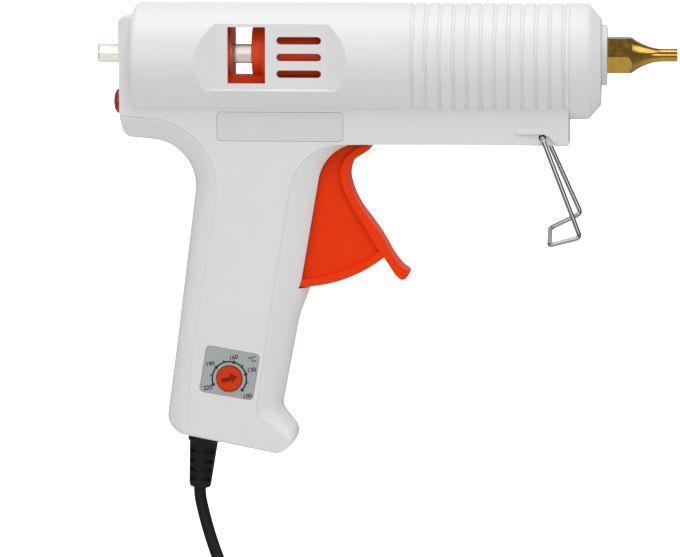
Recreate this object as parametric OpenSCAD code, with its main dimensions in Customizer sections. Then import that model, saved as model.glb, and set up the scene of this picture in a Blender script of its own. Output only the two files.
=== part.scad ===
// Hand-held hot glue gun for 7 mm sticks, with its cord hanging in a tied coil.
// X runs forward to the nozzle, Z is up, the seam of the housing lies in y = 0.
// The origin is the middle of the hand grip.

/* [Housing] */
// Half thickness of the flat handle, rail and rear block
slab_half = 13; // [12.4:0.1:13.6]
// Shell wall
wall = 2.2; // [1.9:0.1:2.4]
// Outside diameter of the barrel
barrel_d = 43.2; // [42:0.1:44.5]
// Height of the barrel axis
barrel_z = 85.5; // [85:0.1:86]
// Number of grooves round the barrel
groove_count = 12; // [6:1:12]
// Distance from groove to groove
groove_pitch = 5.1; // [4:0.1:5.1]
// Depth of a groove
groove_depth = 0.6; // [0.3:0.1:1]
// Length of the nose cap
nose_len = 11.6; // [10.5:0.1:12]

/* [Glue path] */
// Diameter of the glue stick
stick_d = 7.2; // [6.8:0.1:7.3]
// Height of the glue path
stick_z = 88; // [87.6:0.1:88.4]
// How far the stick stands out behind the housing
stick_out = 8; // [4:0.5:30]
// Outside diameter of the melt chamber
chamber_d = 16; // [14:0.5:17]

/* [Nozzle] */
// Width of the hexagon across flats
hex_af = 13; // [12.4:0.1:14]
// Length of the hexagon
hex_len = 8.7; // [7:0.1:10]
// Outside diameter of the tip
tip_d = 4.8; // [4:0.1:5.4]
// Length of the tip tube
tip_len = 9; // [6:0.5:14]

/* [Trigger] */
// Width of the trigger pad
pad_w = 16; // [14:0.1:16.4]
// Width of the trigger web
web_w = 12; // [11:0.1:12.6]
// Diameter of the pivot pin
pivot_d = 4; // [3.4:0.1:4.4]
// Diameter of the drive pin
drive_d = 3; // [2.6:0.1:3.2]

/* [Stand] */
// Diameter of the stand wire
wire_d = 1.8; // [1.5:0.1:2]
// Length of the leg from the pivot to the foot bend
leg_len = 40; // [34:0.5:46]

/* [Controls] */
// Diameter of the temperature knob
knob_d = 9.4; // [8.6:0.1:9.8]
// Diameter of the push button
button_d = 9.4; // [8.6:0.1:9.8]
// Push of the button
button_push = 1.2; // [0.8:0.1:1.4]

/* [Cord] */
// Diameter of the cord
cord_d = 4.6; // [4.2:0.1:4.8]
// Distance between the pins of the plug
plug_pitch = 19; // [18.6:0.1:19.4]
// Diameter of a plug pin
plug_pin_d = 4; // [3.8:0.1:4.2]

/* [Hidden] */
$fn = 48;
barrel_r = barrel_d / 2;
bore_r = barrel_r - wall;
inner_half = slab_half - wall;
rear_x = -48;
barrel_back = -42;
barrel_front = 121.5;
slab_top = 72;
block_x = -36;
cap_end = barrel_front + nose_len;
groove_first = 63.2;
groove_w = 1.3;
recess_y = slab_half + 0.6;
recess_in = recess_y - wall;
stick_r = stick_d / 2;
chamber_r = chamber_d / 2;
pivot = [20, 52.5];
arm_len = 19.5;
arm_lean = 10;
drive = [pivot[0] - arm_len * sin(arm_lean), pivot[1] + arm_len * cos(arm_lean)];
boss_r = drive_d / 2 + 1.7;
sweep_r = 51.75;
slot_half = pad_w / 2 + 0.4;
collar_x = cap_end;
collar_t = 2.2;
hex_x = collar_x + collar_t;
neck_x = hex_x + hex_len;
tip_x = neck_x + 9.2;
cord_r = cord_d / 2;
dial_at = [-5.5, -33.5];
plate_at = [-5.4, -31.3];
plate_tilt = 8.5;
plate_w = 20.3;
plate_h = 17.6;
button_z = 70;
flange_x = rear_x + wall + 0.5;
switch_x = flange_x + 1.1 + button_push;
ear_y = inner_half - 0.5;
stand_at = [111.6, 57.8];
wire_r = wire_d / 2;
stand_y = slab_half + wire_r + 0.5;
screws = [[-26, 66], [60, 58.8], [103, 58.8], [-10.5, 15], [9.5, -56]];
board_posts = [[-13, -9.5], [2.5, -9.5], [-13, -38.5], [2.5, -38.5]];
clamp_x = -15.5;
clamp_dx = [-6.2, 6.2];
rail_z = 54.5;
barrel_foot = round(100 * (barrel_z - sqrt(barrel_r * barrel_r - slab_half * slab_half))) / 100;
label_w = 45.8;
label_h = barrel_foot - rail_z - 2.85;
label_at = [12.4, rail_z + 1.45 + label_h / 2];
lead_notch = [barrel_z - bore_r - 2.9, 70];
recess_z = 75.75;
slot_z = [93.6, 87.4, 81.2];
screw_r = 1.4;
relief_at = [-16.4, -56.5];
relief_lean = 5;

// Side outline at the seam: x, z, corner radius, points on the corner.
outline = [
  [rear_x, 102.5, 4, 4],
  [-47.8, 56.9, 6, 4],
  [-17.2, 53.9, 17.5, 8],
  [-27, -25, 0, 1],
  [-30.5, -53.8, 5, 4],
  [17.5, -63.05, 5.6, 4],
  [21.3, -57, 5.6, 4],
  [13.6, -44.8, 5, 3],
  [20, -11, 0, 1],
  [25.2, 3, 0, 1],
  [34.2, 54.7, 14.6, 7],
  [barrel_front, 53.8, 2, 3],
  [barrel_front, slab_top, 1, 2],
  [block_x, slab_top, 3, 3],
  [block_x, 102.5, 2, 2]
];

// Edge of the flat side panel, matched corner by corner.
panel = [
  [rear_x + 0.6, 101.9, 3.4, 4],
  [rear_x + 0.6, 65.3, 0.6, 4],
  [-6.2, 61.7, 26.5, 8],
  [-19.6, -25, 0, 1],
  [-21.8, -54.7, 0.6, 4],
  [17, -62.2, 3.6, 4],
  [19.6, -58.6, 1.6, 4],
  [4.4, -47.2, 6, 3],
  [9.4, -11, 0, 1],
  [11.7, 3, 0, 1],
  [20.2, 54, 20, 7],
  [barrel_front - 0.7, 54.5, 1.4, 3],
  [barrel_front - 0.7, slab_top - 0.6, 0.6, 2],
  [block_x - 0.6, slab_top - 0.6, 3.2, 3],
  [block_x - 0.6, 101.9, 1.4, 2]
];

// Angles of the rounded flank, from the seam to the flat panel.
flank = [90, 65, 40, 13];

function unit(v) = v / norm(v);
function flat2(p) = [p[0], p[1]];
function turn_of(a, b) = a[0] * b[1] - a[1] * b[0];

// Points of one rounded corner.
function corner_pts(p, before, after, r, n) =
  n == 1 ? [p] :
  let (
    u = unit(before - p),
    v = unit(after - p),
    half = acos(u * v) / 2,
    c = p + unit(u + v) * r / sin(half),
    p0 = p + u * r / tan(half) - c,
    p1 = p + v * r / tan(half) - c,
    a0 = atan2(p0[1], p0[0]),
    gap = atan2(p1[1], p1[0]) - a0,
    sweep = gap > 180 ? gap - 360 : (gap < -180 ? gap + 360 : gap)
  )
  [for (k = [0 : n - 1]) c + r * [cos(a0 + sweep * k / (n - 1)), sin(a0 + sweep * k / (n - 1))]];

function rounded(ctrl) =
  let (m = len(ctrl))
  [for (i = [0 : m - 1]) each corner_pts(flat2(ctrl[i]), flat2(ctrl[(i + m - 1) % m]),
    flat2(ctrl[(i + 1) % m]), ctrl[i][2], ctrl[i][3])];

// The same corners moved inward by w.
function inset(ctrl, w) =
  let (m = len(ctrl))
  [for (i = [0 : m - 1])
    let (
      p = flat2(ctrl[i]),
      d1 = unit(p - flat2(ctrl[(i + m - 1) % m])),
      d2 = unit(flat2(ctrl[(i + 1) % m]) - p),
      n1 = [-d1[1], d1[0]],
      n2 = [-d2[1], d2[0]],
      q = p + w * (n1 + n2) / (1 + n1 * n2),
      r = turn_of(d1, d2) > 0 ? max(0.4, ctrl[i][2] - w) : ctrl[i][2] + w
    )
    [q[0], q[1], r, ctrl[i][3]]];

// Cut a flat outline into triangles by taking off one corner after another.
function in_triangle(q, a, b, c) =
  turn_of(b - a, q - a) >= 0 && turn_of(c - b, q - b) >= 0 && turn_of(a - c, q - c) >= 0;
function is_ear(p, left, k) =
  let (
    m = len(left),
    i = (k + m - 1) % m,
    j = (k + 1) % m,
    a = p[left[i]],
    b = p[left[k]],
    c = p[left[j]],
    others = [for (n = [0 : m - 1]) if (n != i && n != k && n != j && in_triangle(p[left[n]], a, b, c)) n]
  )
  turn_of(b - a, c - b) > 0.001 && len(others) == 0;
function triangles(p, left) =
  let (m = len(left))
  m == 3 ? [left] :
  let (k = [for (n = [0 : m - 1]) if (is_ear(p, left, n)) n][0])
  concat([[left[(k + m - 1) % m], left[k], left[(k + 1) % m]]],
    triangles(p, [for (n = [0 : m - 1]) if (n != k) left[n]]));
function backward(face) = [for (k = [len(face) - 1 : -1 : 0]) face[k]];
function shifted(face, by) = [for (k = face) k + by];

// Rings of one rounded flank, from the seam to the flat panel.
function flank_rings(edge, face, half) =
  let (s0 = sin(flank[len(flank) - 1]), c0 = cos(flank[len(flank) - 1]))
  [for (f = flank) [for (i = [0 : len(edge) - 1])
    let (k = (sin(f) - s0) / (1 - s0), q = face[i] + (edge[i] - face[i]) * k)
    [q[0], -half * cos(f) / c0, q[1]]]];

// Hollow half body on the -Y side, open at the seam.
module half_cup() {
  edge_out = rounded(outline);
  face_out = rounded(panel);
  edge_in = rounded(inset(outline, wall));
  face_in = rounded(inset(panel, wall * 0.55));
  n = len(edge_out);
  m = len(flank);
  pts = [for (g = concat(flank_rings(edge_out, face_out, slab_half),
    flank_rings(edge_in, face_in, inner_half))) each g];
  skin = [for (j = [0 : m - 2]) for (i = [0 : n - 1])
    let (i2 = (i + 1) % n)
    each [[j * n + i, (j + 1) * n + i, j * n + i2],
          [j * n + i2, (j + 1) * n + i, (j + 1) * n + i2]]];
  inner = m * n;
  seam = [for (i = [0 : n - 1]) [i, (i + 1) % n, inner + (i + 1) % n, inner + i]];
  cap_out = [for (t = triangles(face_out, [for (i = [0 : n - 1]) i])) shifted(backward(t), (m - 1) * n)];
  cap_in = [for (t = triangles(face_in, [for (i = [0 : n - 1]) i])) shifted(t, inner + (m - 1) * n)];
  polyhedron(points = pts, faces = concat(skin, [for (t = skin) shifted(backward(t), inner)],
    seam, cap_out, cap_in));
}

// Tube through a row of points.
module tube(pts, r, n, ref = [0, 1, 0]) {
  m = len(pts);
  tang = [for (i = [0 : m - 1]) unit(pts[min(i + 1, m - 1)] - pts[max(i - 1, 0)])];
  v = [for (i = [0 : m - 1])
    let (a = unit(cross(ref, tang[i])), b = cross(tang[i], a))
    for (k = [0 : n - 1]) pts[i] + r * (cos(360 * k / n) * a + sin(360 * k / n) * b)];
  sides = [for (i = [0 : m - 2]) for (k = [0 : n - 1])
    let (k2 = (k + 1) % n)
    each [[i * n + k, (i + 1) * n + k, i * n + k2],
          [i * n + k2, (i + 1) * n + k, (i + 1) * n + k2]]];
  polyhedron(points = v, faces = concat(
    [[for (k = [0 : n - 1]) k]],
    [[for (k = [n - 1 : -1 : 0]) (m - 1) * n + k]],
    sides));
}

// Smooth curve through hand-placed points, with steps points on each stretch.
function spline_at(a, b, c, d, t) =
  0.5 * ((2 * b) + (c - a) * t + (2 * a - 5 * b + 4 * c - d) * t * t
  + (3 * b - a - 3 * c + d) * t * t * t);
function smooth(p, steps) =
  let (m = len(p))
  concat([for (i = [0 : m - 2]) for (k = [0 : steps - 1])
    spline_at(p[max(i - 1, 0)], p[i], p[i + 1], p[min(i + 2, m - 1)], k / steps)], [p[m - 1]]);

// Cylinder along X.
module rod_x(x0, x1, r, z, y = 0, f = 48) {
  translate([x0, y, z]) rotate([0, 90, 0]) cylinder(h = x1 - x0, r = r, $fn = f);
}

// Cylinder along Y.
module rod_y(y0, y1, r, x, z, f = 48) {
  translate([x, y1, z]) rotate([90, 0, 0]) cylinder(h = y1 - y0, r = r, $fn = f);
}

// Block between two corners.
module block(x, y, z) {
  translate([x[0], y[0], z[0]]) cube([x[1] - x[0], y[1] - y[0], z[1] - z[0]]);
}

// Side profile given thickness between two y values.
module plate_y(y0, y1) {
  translate([0, y1, 0]) rotate([90, 0, 0]) linear_extrude(height = y1 - y0) children();
}

// Turned profile of radius and x about a line along X.
module turned_x(z) {
  translate([0, 0, z]) rotate([0, 90, 0]) rotate_extrude($fn = 96) children();
}

// Frame leaning with the strain relief, its z axis pointing down along the cord.
module relief_frame() {
  translate([relief_at[0], 0, relief_at[1]]) rotate([0, 180 + relief_lean, 0]) children();
}

module rounded_rect(w, h, r) {
  square([w - 2 * r, h], center = true);
  square([w, h - 2 * r], center = true);
  for (sx = [-1, 1])
    for (sy = [-1, 1])
      translate([sx * (w / 2 - r), sy * (h / 2 - r)]) circle(r = r, $fn = 24);
}

module stadium(x0, x1, z, h) {
  translate([x0 + h / 2, z - h / 2]) square([x1 - x0 - h, h]);
  translate([x0 + h / 2, z]) circle(r = h / 2, $fn = 24);
  translate([x1 - h / 2, z]) circle(r = h / 2, $fn = 24);
}

module barrel_body() {
  turned_x(barrel_z) polygon(concat(
    [[0, barrel_back], [barrel_r - 2.5, barrel_back],
     [barrel_r - 1.54, barrel_back + 0.19], [barrel_r - 0.73, barrel_back + 0.73],
     [barrel_r - 0.19, barrel_back + 1.54], [barrel_r, barrel_back + 2.5]],
    [for (i = [0 : groove_count - 1])
      let (x = groove_first + i * groove_pitch, h = groove_w / 2)
      each [[barrel_r, x - h], [barrel_r - groove_depth, x - h + 0.3],
            [barrel_r - groove_depth, x + h - 0.3], [barrel_r, x + h]]],
    [[barrel_r, barrel_front], [0, barrel_front]]));
}

module recess_form(y, grow, z) {
  translate([0, 0, z]) linear_extrude(height = 40)
    polygon([[-11.25 - grow, -y], [30.75 + grow, -y], [40.75 + grow, -y - 10], [-21.25 - grow, -y - 10]]);
}

module barrel_room() {
  difference() {
    rod_x(barrel_back + wall, barrel_front + 1, bore_r, barrel_z, f = 96);
    recess_form(recess_in, 0.9, recess_z - wall);
  }
}

// Opening for the trigger, bounded by the sweep of its lower end.
module trigger_slot() {
  intersection() {
    rod_y(-slot_half, slot_half, sweep_r + 0.5, pivot[0], pivot[1], 96);
    plate_y(-slot_half, slot_half)
      polygon([[3, -3], [75, -3], [75, 54.2], [46, 54.2], [41, 57.5], [9, 57.5]]);
  }
}

// Barrel half with its recess, open below and behind into the slab.
module half_barrel() {
  difference() {
    barrel_body();
    recess_form(recess_y, 0, recess_z);
    barrel_room();
    block([rear_x, barrel_front - 4], [-inner_half + 0.2, 1], [barrel_z - barrel_r - 1, slab_top]);
    block([rear_x, barrel_back + wall + 1], [-inner_half + 0.2, 1], [slab_top - 1, 98]);
    block([-120, 200], [0, 60], [-120, 160]);
    // window and slots
    block([-6.75, 7.9], [-30, -recess_in + 0.3], [77.6, 98.6]);
    plate_y(-30, -recess_in + 0.3)
      for (z = slot_z) stadium(11.6, 28.3, z, 2.8);
  }
}

// Flat half with its openings.
module half_slab(is_right) {
  difference() {
    half_cup();
    barrel_room();
    trigger_slot();
    rod_x(rear_x - 4, rear_x + 4, button_d / 2 + 0.25, button_z);
    rod_x(rear_x - 2, rear_x + 4, stick_r + 0.35, stick_z);
    rod_y(-slab_half - 3, -6, wire_r + 0.1, stand_at[0], stand_at[1]);
    relief_frame() {
      translate([0, 0, -12]) cylinder(h = 20, r = 4);
      translate([0, 0, -0.9]) cylinder(h = 12, r = 5.3);
    }
    if (is_right) {
      plate_y(-slab_half - 1, -slab_half + 0.3) translate(label_at) rounded_rect(label_w, label_h, 1.6);
      plate_y(-slab_half - 1, -slab_half + 0.4)
        translate(plate_at) rotate(-plate_tilt) rounded_rect(plate_w, plate_h, 1.6);
      rod_y(-slab_half - 2, -6, knob_d / 2 + 0.25, dial_at[0], dial_at[1]);
    } else {
      for (s = screws) rod_y(-20, -8, 3, s[0], s[1]);
    }
  }
}

// Posts, ledges and rings inside one half.
module half_fittings(is_right) {
  side_wall = -inner_half - 0.5;
  difference() {
    union() {
      for (s = screws) rod_y(side_wall, 0, is_right ? 3 : 4, s[0], s[1]);
      rod_x(rear_x + 1, -32, 6, stick_z);
      block([-11, 43], [-recess_in - 0.5, -8], [71.8, 74.3]);
      block([10, 43], [-recess_in - 0.5, -8], [77.7, 79.6]);
      rod_x(50, 52, bore_r + 0.4, barrel_z);
      rod_x(61, 64, bore_r + 0.4, barrel_z);
      rod_x(112, 115, bore_r + 0.4, barrel_z);
      rod_y(side_wall, -7, 5, pivot[0], pivot[1]);
      block([-33.2, -31.4], [side_wall, -4], [barrel_z - barrel_r - 4, button_z + 1.5]);
      if (is_right) {
        block([-23.5, -7.5], [side_wall, -0.4], [-48.5, -43.5]);
        for (p = board_posts) rod_y(side_wall, -5.5, 2, p[0], p[1]);
      }
    }
    block([-120, 200], [0, 60], [-120, 160]);
    rod_x(rear_x - 2, -30, stick_r + 0.35, stick_z);
    rod_x(49, 53, 7.2, stick_z);
    rod_x(60, 65, 15.5, barrel_z);
    // notches for the leads
    block([49, 53], [-9, 1], lead_notch);
    block([60.5, 65], [-9, 1], lead_notch);
    rod_x(111, 116, 15.5, barrel_z);
    rod_y(-inner_half, 0, pivot_d / 2, pivot[0], pivot[1]);
    for (s = screws) rod_y(-8.5, 1, screw_r, s[0], s[1]);
    if (is_right) {
      relief_frame() translate([0, 0, -18]) cylinder(h = 18, r = cord_r);
      for (dx = clamp_dx) rod_y(-8, 1, 1.1, clamp_x + dx, -46);
    } else {
      for (s = screws) rod_y(-20, -8, 3, s[0], s[1]);
    }
  }
}

module half_shell(is_right) {
  half_slab(is_right);
  half_barrel();
  half_fittings(is_right);
}

module right_housing_shell() {
  color("white") half_shell(true);
}

module left_housing_shell() {
  color("white") mirror([0, 1, 0]) half_shell(false);
}

module nose_cap() {
  color("white") difference() {
    turned_x(barrel_z) polygon([
      [bore_r - 2, barrel_front - 3.6], [bore_r - 0.1, barrel_front - 3.6],
      [bore_r - 0.1, barrel_front], [barrel_r, barrel_front],
      [barrel_r, cap_end - 5.6], [barrel_r - 0.6, cap_end - 4.5],
      [barrel_r - 1.9, cap_end - 3.2], [barrel_r - 4.4, cap_end - 1],
      [barrel_r - 5.2, cap_end], [0, cap_end],
      [0, cap_end - 3], [bore_r - 2.4, cap_end - 3], [bore_r - 2, cap_end - 5]]);
    rod_x(cap_end - 6, cap_end + 2, 9, stick_z);
  }
}

module nozzle_collar() {
  color("gainsboro") turned_x(stick_z)
    polygon([[5, collar_x - 3], [8.9, collar_x - 3], [8.9, collar_x], [11.4, collar_x],
      [11.4, hex_x - 0.5], [10.9, hex_x], [5, hex_x]]);
}

module nozzle() {
  color("goldenrod") difference() {
    union() {
      translate([hex_x, 0, stick_z]) rotate([33, 0, 0]) rotate([0, 90, 0])
        cylinder(h = hex_len, r = hex_af / sqrt(3), $fn = 6);
      turned_x(stick_z) polygon([
        [0, neck_x - 1], [hex_af / 2 - 0.6, neck_x - 1], [hex_af / 2 - 0.6, neck_x],
        [hex_af / 2 - 1.4, neck_x + 0.4], [hex_af / 2 - 2.6, neck_x + 2.2],
        [tip_d / 2 + 0.9, neck_x + 4.6], [tip_d / 2 + 0.3, neck_x + 6.8],
        [tip_d / 2, tip_x], [tip_d / 2, tip_x + tip_len - 0.4],
        [tip_d / 2 - 0.4, tip_x + tip_len], [0, tip_x + tip_len]]);
    }
    rod_x(hex_x - 1, neck_x - 2, 4.6, stick_z);
    rod_x(neck_x - 3, tip_x + tip_len + 1, 1, stick_z);
  }
}

module melt_chamber() {
  color("silver") difference() {
    union() {
      rod_x(60, 126, chamber_r, stick_z);
      rod_x(54, 61, 5, stick_z);
      rod_x(125, collar_x - 3, 7, stick_z);
      rod_x(collar_x - 4, neck_x - 2.5, 4.6, stick_z);
      block([68, 110], [-6.5, 6.5], [stick_z - 15, stick_z - 4]);
    }
    rod_x(53, 120, stick_r + 0.25, stick_z);
    rod_x(119, neck_x, 2, stick_z);
    block([66, 112], [-4.5, 4.5], [stick_z - 13, stick_z - 9]);
  }
}

module inlet_sleeve() {
  color("lightblue") difference() {
    union() {
      rod_x(44, 60, 6.2, stick_z);
      rod_x(46, 47.5, 6.8, stick_z);
    }
    rod_x(43, 61, stick_r + 0.15, stick_z);
    rod_x(54, 61, 5, stick_z);
  }
}

module sleeve_clamp() {
  color("silver") difference() {
    rod_x(55.5, 58.5, 7, stick_z);
    rod_x(55, 59, 6.2, stick_z);
  }
}

module chamber_rear_ring() {
  color("silver") difference() {
    rod_x(64, 65.2, bore_r - 0.15, barrel_z);
    rod_x(63, 66, chamber_r, stick_z);
    block([63, 66], [-9, 9], lead_notch);
  }
}

module chamber_front_ring() {
  color("silver") difference() {
    rod_x(115, 116.2, bore_r - 0.15, barrel_z);
    rod_x(114, 117, chamber_r, stick_z);
  }
}

module heater_element() {
  color("tan") block([69, 109], [-4.5, 4.5], [stick_z - 13, stick_z - 9]);
}

module heater_clip() {
  color("silver") difference() {
    block([80, 98], [-7.3, 7.3], [stick_z - 15.8, stick_z - 2]);
    block([79, 99], [-6.5, 6.5], [stick_z - 15, stick_z]);
    rod_x(79, 99, chamber_r, stick_z);
  }
}

module thermistor() {
  color("orange") difference() {
    block([90, 97], [-2, 2], [stick_z + chamber_r - 0.6, stick_z + chamber_r + 1.6]);
    rod_x(89, 98, chamber_r, stick_z);
  }
}

module thermal_fuse() {
  color("white") difference() {
    block([74, 86], [-2.4, 2.4], [stick_z + chamber_r - 0.7, stick_z + chamber_r + 3]);
    rod_x(73, 87, chamber_r, stick_z);
  }
}

module glue_stick() {
  color("wheat") rod_x(rear_x - stick_out, 50, stick_r, stick_z);
}

module feed_carriage() {
  color("orangered") difference() {
    union() {
      block([-6.75, 32], [-9, 9], [74.6, 77.4]);
      block([-6.75, 32], [-5, 5], [77, 80.2]);
      rod_x(-6.75, -3.75, 10.8, stick_z);
      rod_x(2.6, 7.5, 10.8, stick_z);
      rod_x(7, 32, 9, stick_z);
      for (s = [-1, 1]) block([drive[0] - 5, drive[0] + 5],
        [min(s * 4.6, s * 7.4), max(s * 4.6, s * 7.4)], [67.6, 75]);
    }
    rod_x(-8, 33, stick_r + 0.3, stick_z);
    // pocket of the pawl
    block([9.5, 27], [-2.8, 2.8], [77.4, 85]);
    // upright slots of the drive pin
    block([drive[0] - drive_d / 2 - 0.05, drive[0] + drive_d / 2 + 0.05], [-9, 9],
      [drive[1] - drive_d / 2 - 0.5, drive[1] + drive_d / 2 + 0.9]);
    // pocket over the end of the trigger arm
    block([drive[0] - boss_r - 1.6, drive[0] + boss_r + 1.6], [-4.6, 4.6], [74, drive[1] + boss_r + 1]);
    rod_y(-6, 6, 1, 23.5, 80.2);
  }
}

module grip_pawl() {
  color("silver") difference() {
    plate_y(-2.4, 2.4) union() {
      polygon([[23.5, 82], [13.2, 84.2], [12.2, 84.2], [11.4, 83.2], [12.4, 81.2], [23.5, 78.4]]);
      translate([23.5, 80.2]) circle(r = 1.8);
    }
    rod_y(-3, 3, 1.03, 23.5, 80.2);
  }
}

module pawl_pin() {
  color("silver") rod_y(-6, 6, 1, 23.5, 80.2);
}

module pawl_spring() {
  color("silver") tube([for (i = [0 : 40])
    [14.6 + 1.3 * cos(i * 36), 1.3 * sin(i * 36), 77.7 + 2.1 * i / 40]], 0.3, 6, [0, 0, 1]);
}

module return_spring() {
  color("silver") tube([for (i = [0 : 112])
    [32.5 + 17 * i / 112, 8.2 * cos(i * 22.5), stick_z + 8.2 * sin(i * 22.5)]], 0.5, 6, [1, 0, 0]);
}

// Trigger outline in the side view.
module trigger_side() {
  polygon([
    [46.8, 54.2], [47.3, 52.8], [45, 51.3], [41.7, 49.4], [39.9, 47.4], [39, 43.7],
    [39.4, 40.5], [40.9, 36], [43.3, 31.3], [47.8, 25.6], [52, 19.6], [55.5, 12.9],
    [59.2, 8.3], [61.6, 7], [61.6, 5.2], [59.6, 3.4], [57.2, 4.4], [52.4, 11.9],
    [47.8, 8.9], [43, 6.2], [38, 3.9], [32, 2.2], [26, 1.2], [19.5, 0.8],
    [15.5, 20], [15, 40], [14.5, 52.5], [20, 57], [30, 55.6], [38, 54]
  ]);
}

module pad_side() {
  polygon([
    [46.8, 54.2], [47.3, 52.8], [45, 51.3], [41.7, 49.4], [39.9, 47.4], [39, 43.7],
    [39.4, 40.5], [40.9, 36], [43.3, 31.3], [47.8, 25.6], [52, 19.6], [55.5, 12.9],
    [59.2, 8.3], [61.6, 7], [61.6, 5.2], [59.6, 3.4], [57.2, 4.4], [52.4, 11.9],
    [49.8, 15.4], [46.6, 20.6], [41.7, 28.7], [38.1, 34.9], [35.9, 40.1], [35.4, 43.7],
    [36.4, 47.8], [39.3, 51.4], [43.5, 54.2]
  ]);
}

module band_side() {
  intersection() {
    difference() {
      translate(pivot) circle(r = sweep_r, $fn = 96);
      translate(pivot) circle(r = sweep_r - 3, $fn = 96);
    }
    polygon([pivot, [pivot[0] - 1, -20], [70, -20], [56, 7.5]]);
  }
}

module trigger() {
  color("orangered") difference() {
    union() {
      plate_y(-web_w / 2, web_w / 2) intersection() {
        trigger_side();
        translate(pivot) circle(r = 62, $fn = 96);
      }
      plate_y(-pad_w / 2, pad_w / 2) pad_side();
      plate_y(-pad_w / 2, pad_w / 2) band_side();
      rod_y(-6.7, 6.7, 6, pivot[0], pivot[1]);
      plate_y(-4, 4) polygon([[pivot[0] - 4.5, pivot[1]], [pivot[0] + 4.5, pivot[1]],
        [drive[0] + boss_r, drive[1]], [drive[0] - boss_r, drive[1]]]);
      rod_y(-4, 4, boss_r, drive[0], drive[1]);
    }
    rod_y(-20, 20, pivot_d / 2 + 0.05, pivot[0], pivot[1]);
    rod_y(-20, 20, drive_d / 2, drive[0], drive[1]);
  }
}

module trigger_pin() {
  color("silver") rod_y(-inner_half, inner_half, pivot_d / 2, pivot[0], pivot[1]);
}

module drive_pin() {
  color("silver") rod_y(-7.4, 7.4, drive_d / 2, drive[0], drive[1]);
}

module power_button() {
  color("red") union() {
    turned_x(button_z) polygon([
      [0, rear_x - 1.7], [button_d / 2 - 2.4, rear_x - 1.5], [button_d / 2 - 0.9, rear_x - 1],
      [button_d / 2, rear_x], [button_d / 2, flange_x], [button_d / 2 + 0.9, flange_x],
      [button_d / 2 + 0.9, flange_x + 0.8], [2.4, flange_x + 0.8],
      [2.4, switch_x + 2], [0, switch_x + 2]]);
  }
}

module switch_body() {
  color("black") difference() {
    union() {
      block([switch_x, -33.2], [-5.5, 5.5], [button_z - 5.5, button_z + 5.5]);
      for (y = [-3, 3]) block([-33.2, -30.4], [y - 0.4, y + 0.4], [button_z + 1, button_z + 4]);
      for (s = [-1, 1]) block([switch_x + 0.8, -34.5],
        [min(s * 5.4, s * ear_y), max(s * 5.4, s * ear_y)], [button_z - 4, button_z + 4]);
    }
    rod_x(switch_x - 1, switch_x + 2 + button_push + 0.5, 2.5, button_z);
  }
}

module temperature_dial() {
  color("orangered") difference() {
    union() {
      rod_y(-slab_half - 0.9, -slab_half + 2, knob_d / 2, dial_at[0], dial_at[1]);
      rod_y(-slab_half + 1, -9.3, 2.4, dial_at[0], dial_at[1]);
    }
    plate_y(-slab_half - 2, -slab_half - 0.4) translate(dial_at) rotate(17)
      polygon([[-3, -0.8], [0.7, -0.8], [0.7, -1.9], [3.2, 0], [0.7, 1.9], [0.7, 0.8], [-3, 0.8]]);
  }
}

module dial_plate() {
  color("silver") difference() {
    plate_y(-slab_half - 0.1, -slab_half + 0.4)
      translate(plate_at) rotate(-plate_tilt) rounded_rect(plate_w - 0.1, plate_h - 0.1, 1.6);
    rod_y(-slab_half - 2, -6, knob_d / 2 + 0.25, dial_at[0], dial_at[1]);
  }
}

module rating_label() {
  color("gainsboro") plate_y(-slab_half - 0.05, -slab_half + 0.3)
    translate(label_at) rounded_rect(label_w - 0.1, label_h - 0.1, 1.6);
}

module potentiometer() {
  color("steelblue") {
    rod_y(-9.2, -5.5, 4.8, dial_at[0], dial_at[1]);
  }
}

module control_board() {
  color("green") block([-16, 5.5], [-5.5, -3.9], [-41, -6]);
}

module triac() {
  color("black") union() {
    block([-12, -2], [-3.9, 0.6], [-17.5, -8.5]);
    block([-12, -2], [-3.9, -2.6], [-8.5, -6.5]);
  }
}

module film_capacitor() {
  color("firebrick") block([-11, 2], [-3.9, 3.2], [-32, -26]);
}

module control_chip() {
  color("black") block([-14, -4.4], [-3.9, -0.6], [-24, -19.6]);
}

module housing_screws() {
  color("silver")
    for (s = screws) {
      rod_y(-8.5, 8.2, screw_r, s[0], s[1]);
      rod_y(8, 10, 2.7, s[0], s[1]);
    }
}

module cord_clamp() {
  color("white") difference() {
    block([-23, -8], [0.4, 5], [-48, -44]);
    relief_frame() translate([0, 0, -18]) cylinder(h = 18, r = cord_r);
    for (dx = clamp_dx) rod_y(-8, 8, 1.1, clamp_x + dx, -46);
  }
}

module clamp_screws() {
  color("silver")
    for (dx = clamp_dx) {
      rod_y(-7.5, 5.2, 1.1, clamp_x + dx, -46);
      rod_y(5, 6.4, 2.2, clamp_x + dx, -46);
    }
}

module strain_relief() {
  color("dimgray") relief_frame() rotate_extrude($fn = 48) polygon(concat(
    [[cord_r, -5.4], [6, -5.4], [6, -3.6], [4, -3.6], [4, -0.9], [5.25, -0.9], [5.2, 2.2]],
    [for (i = [0 : 3]) let (s = 2.2 + i * 3.4, r = 5.1 - 0.28 * i)
      each [[r - 1.3, s], [r - 1.3, s + 1.1], [r, s + 1.1], [r - 0.2, s + 3.4]]],
    [[3.7, 15.8], [3.6, 17.4], [cord_r, 17.4]]));
}

// Way of the cord: inside the grip, through the relief and down to the coil.
lead_dir = [-sin(relief_lean), 0, -cos(relief_lean)];
relief_p = [relief_at[0], 0, relief_at[1]];
coil_c = [-30.5, -139];
coil_start = 17;
coil_out = 30.2;
coil_pitch = 5.2;
coil_turns = 2;
coil_y = -7.8;

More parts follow.
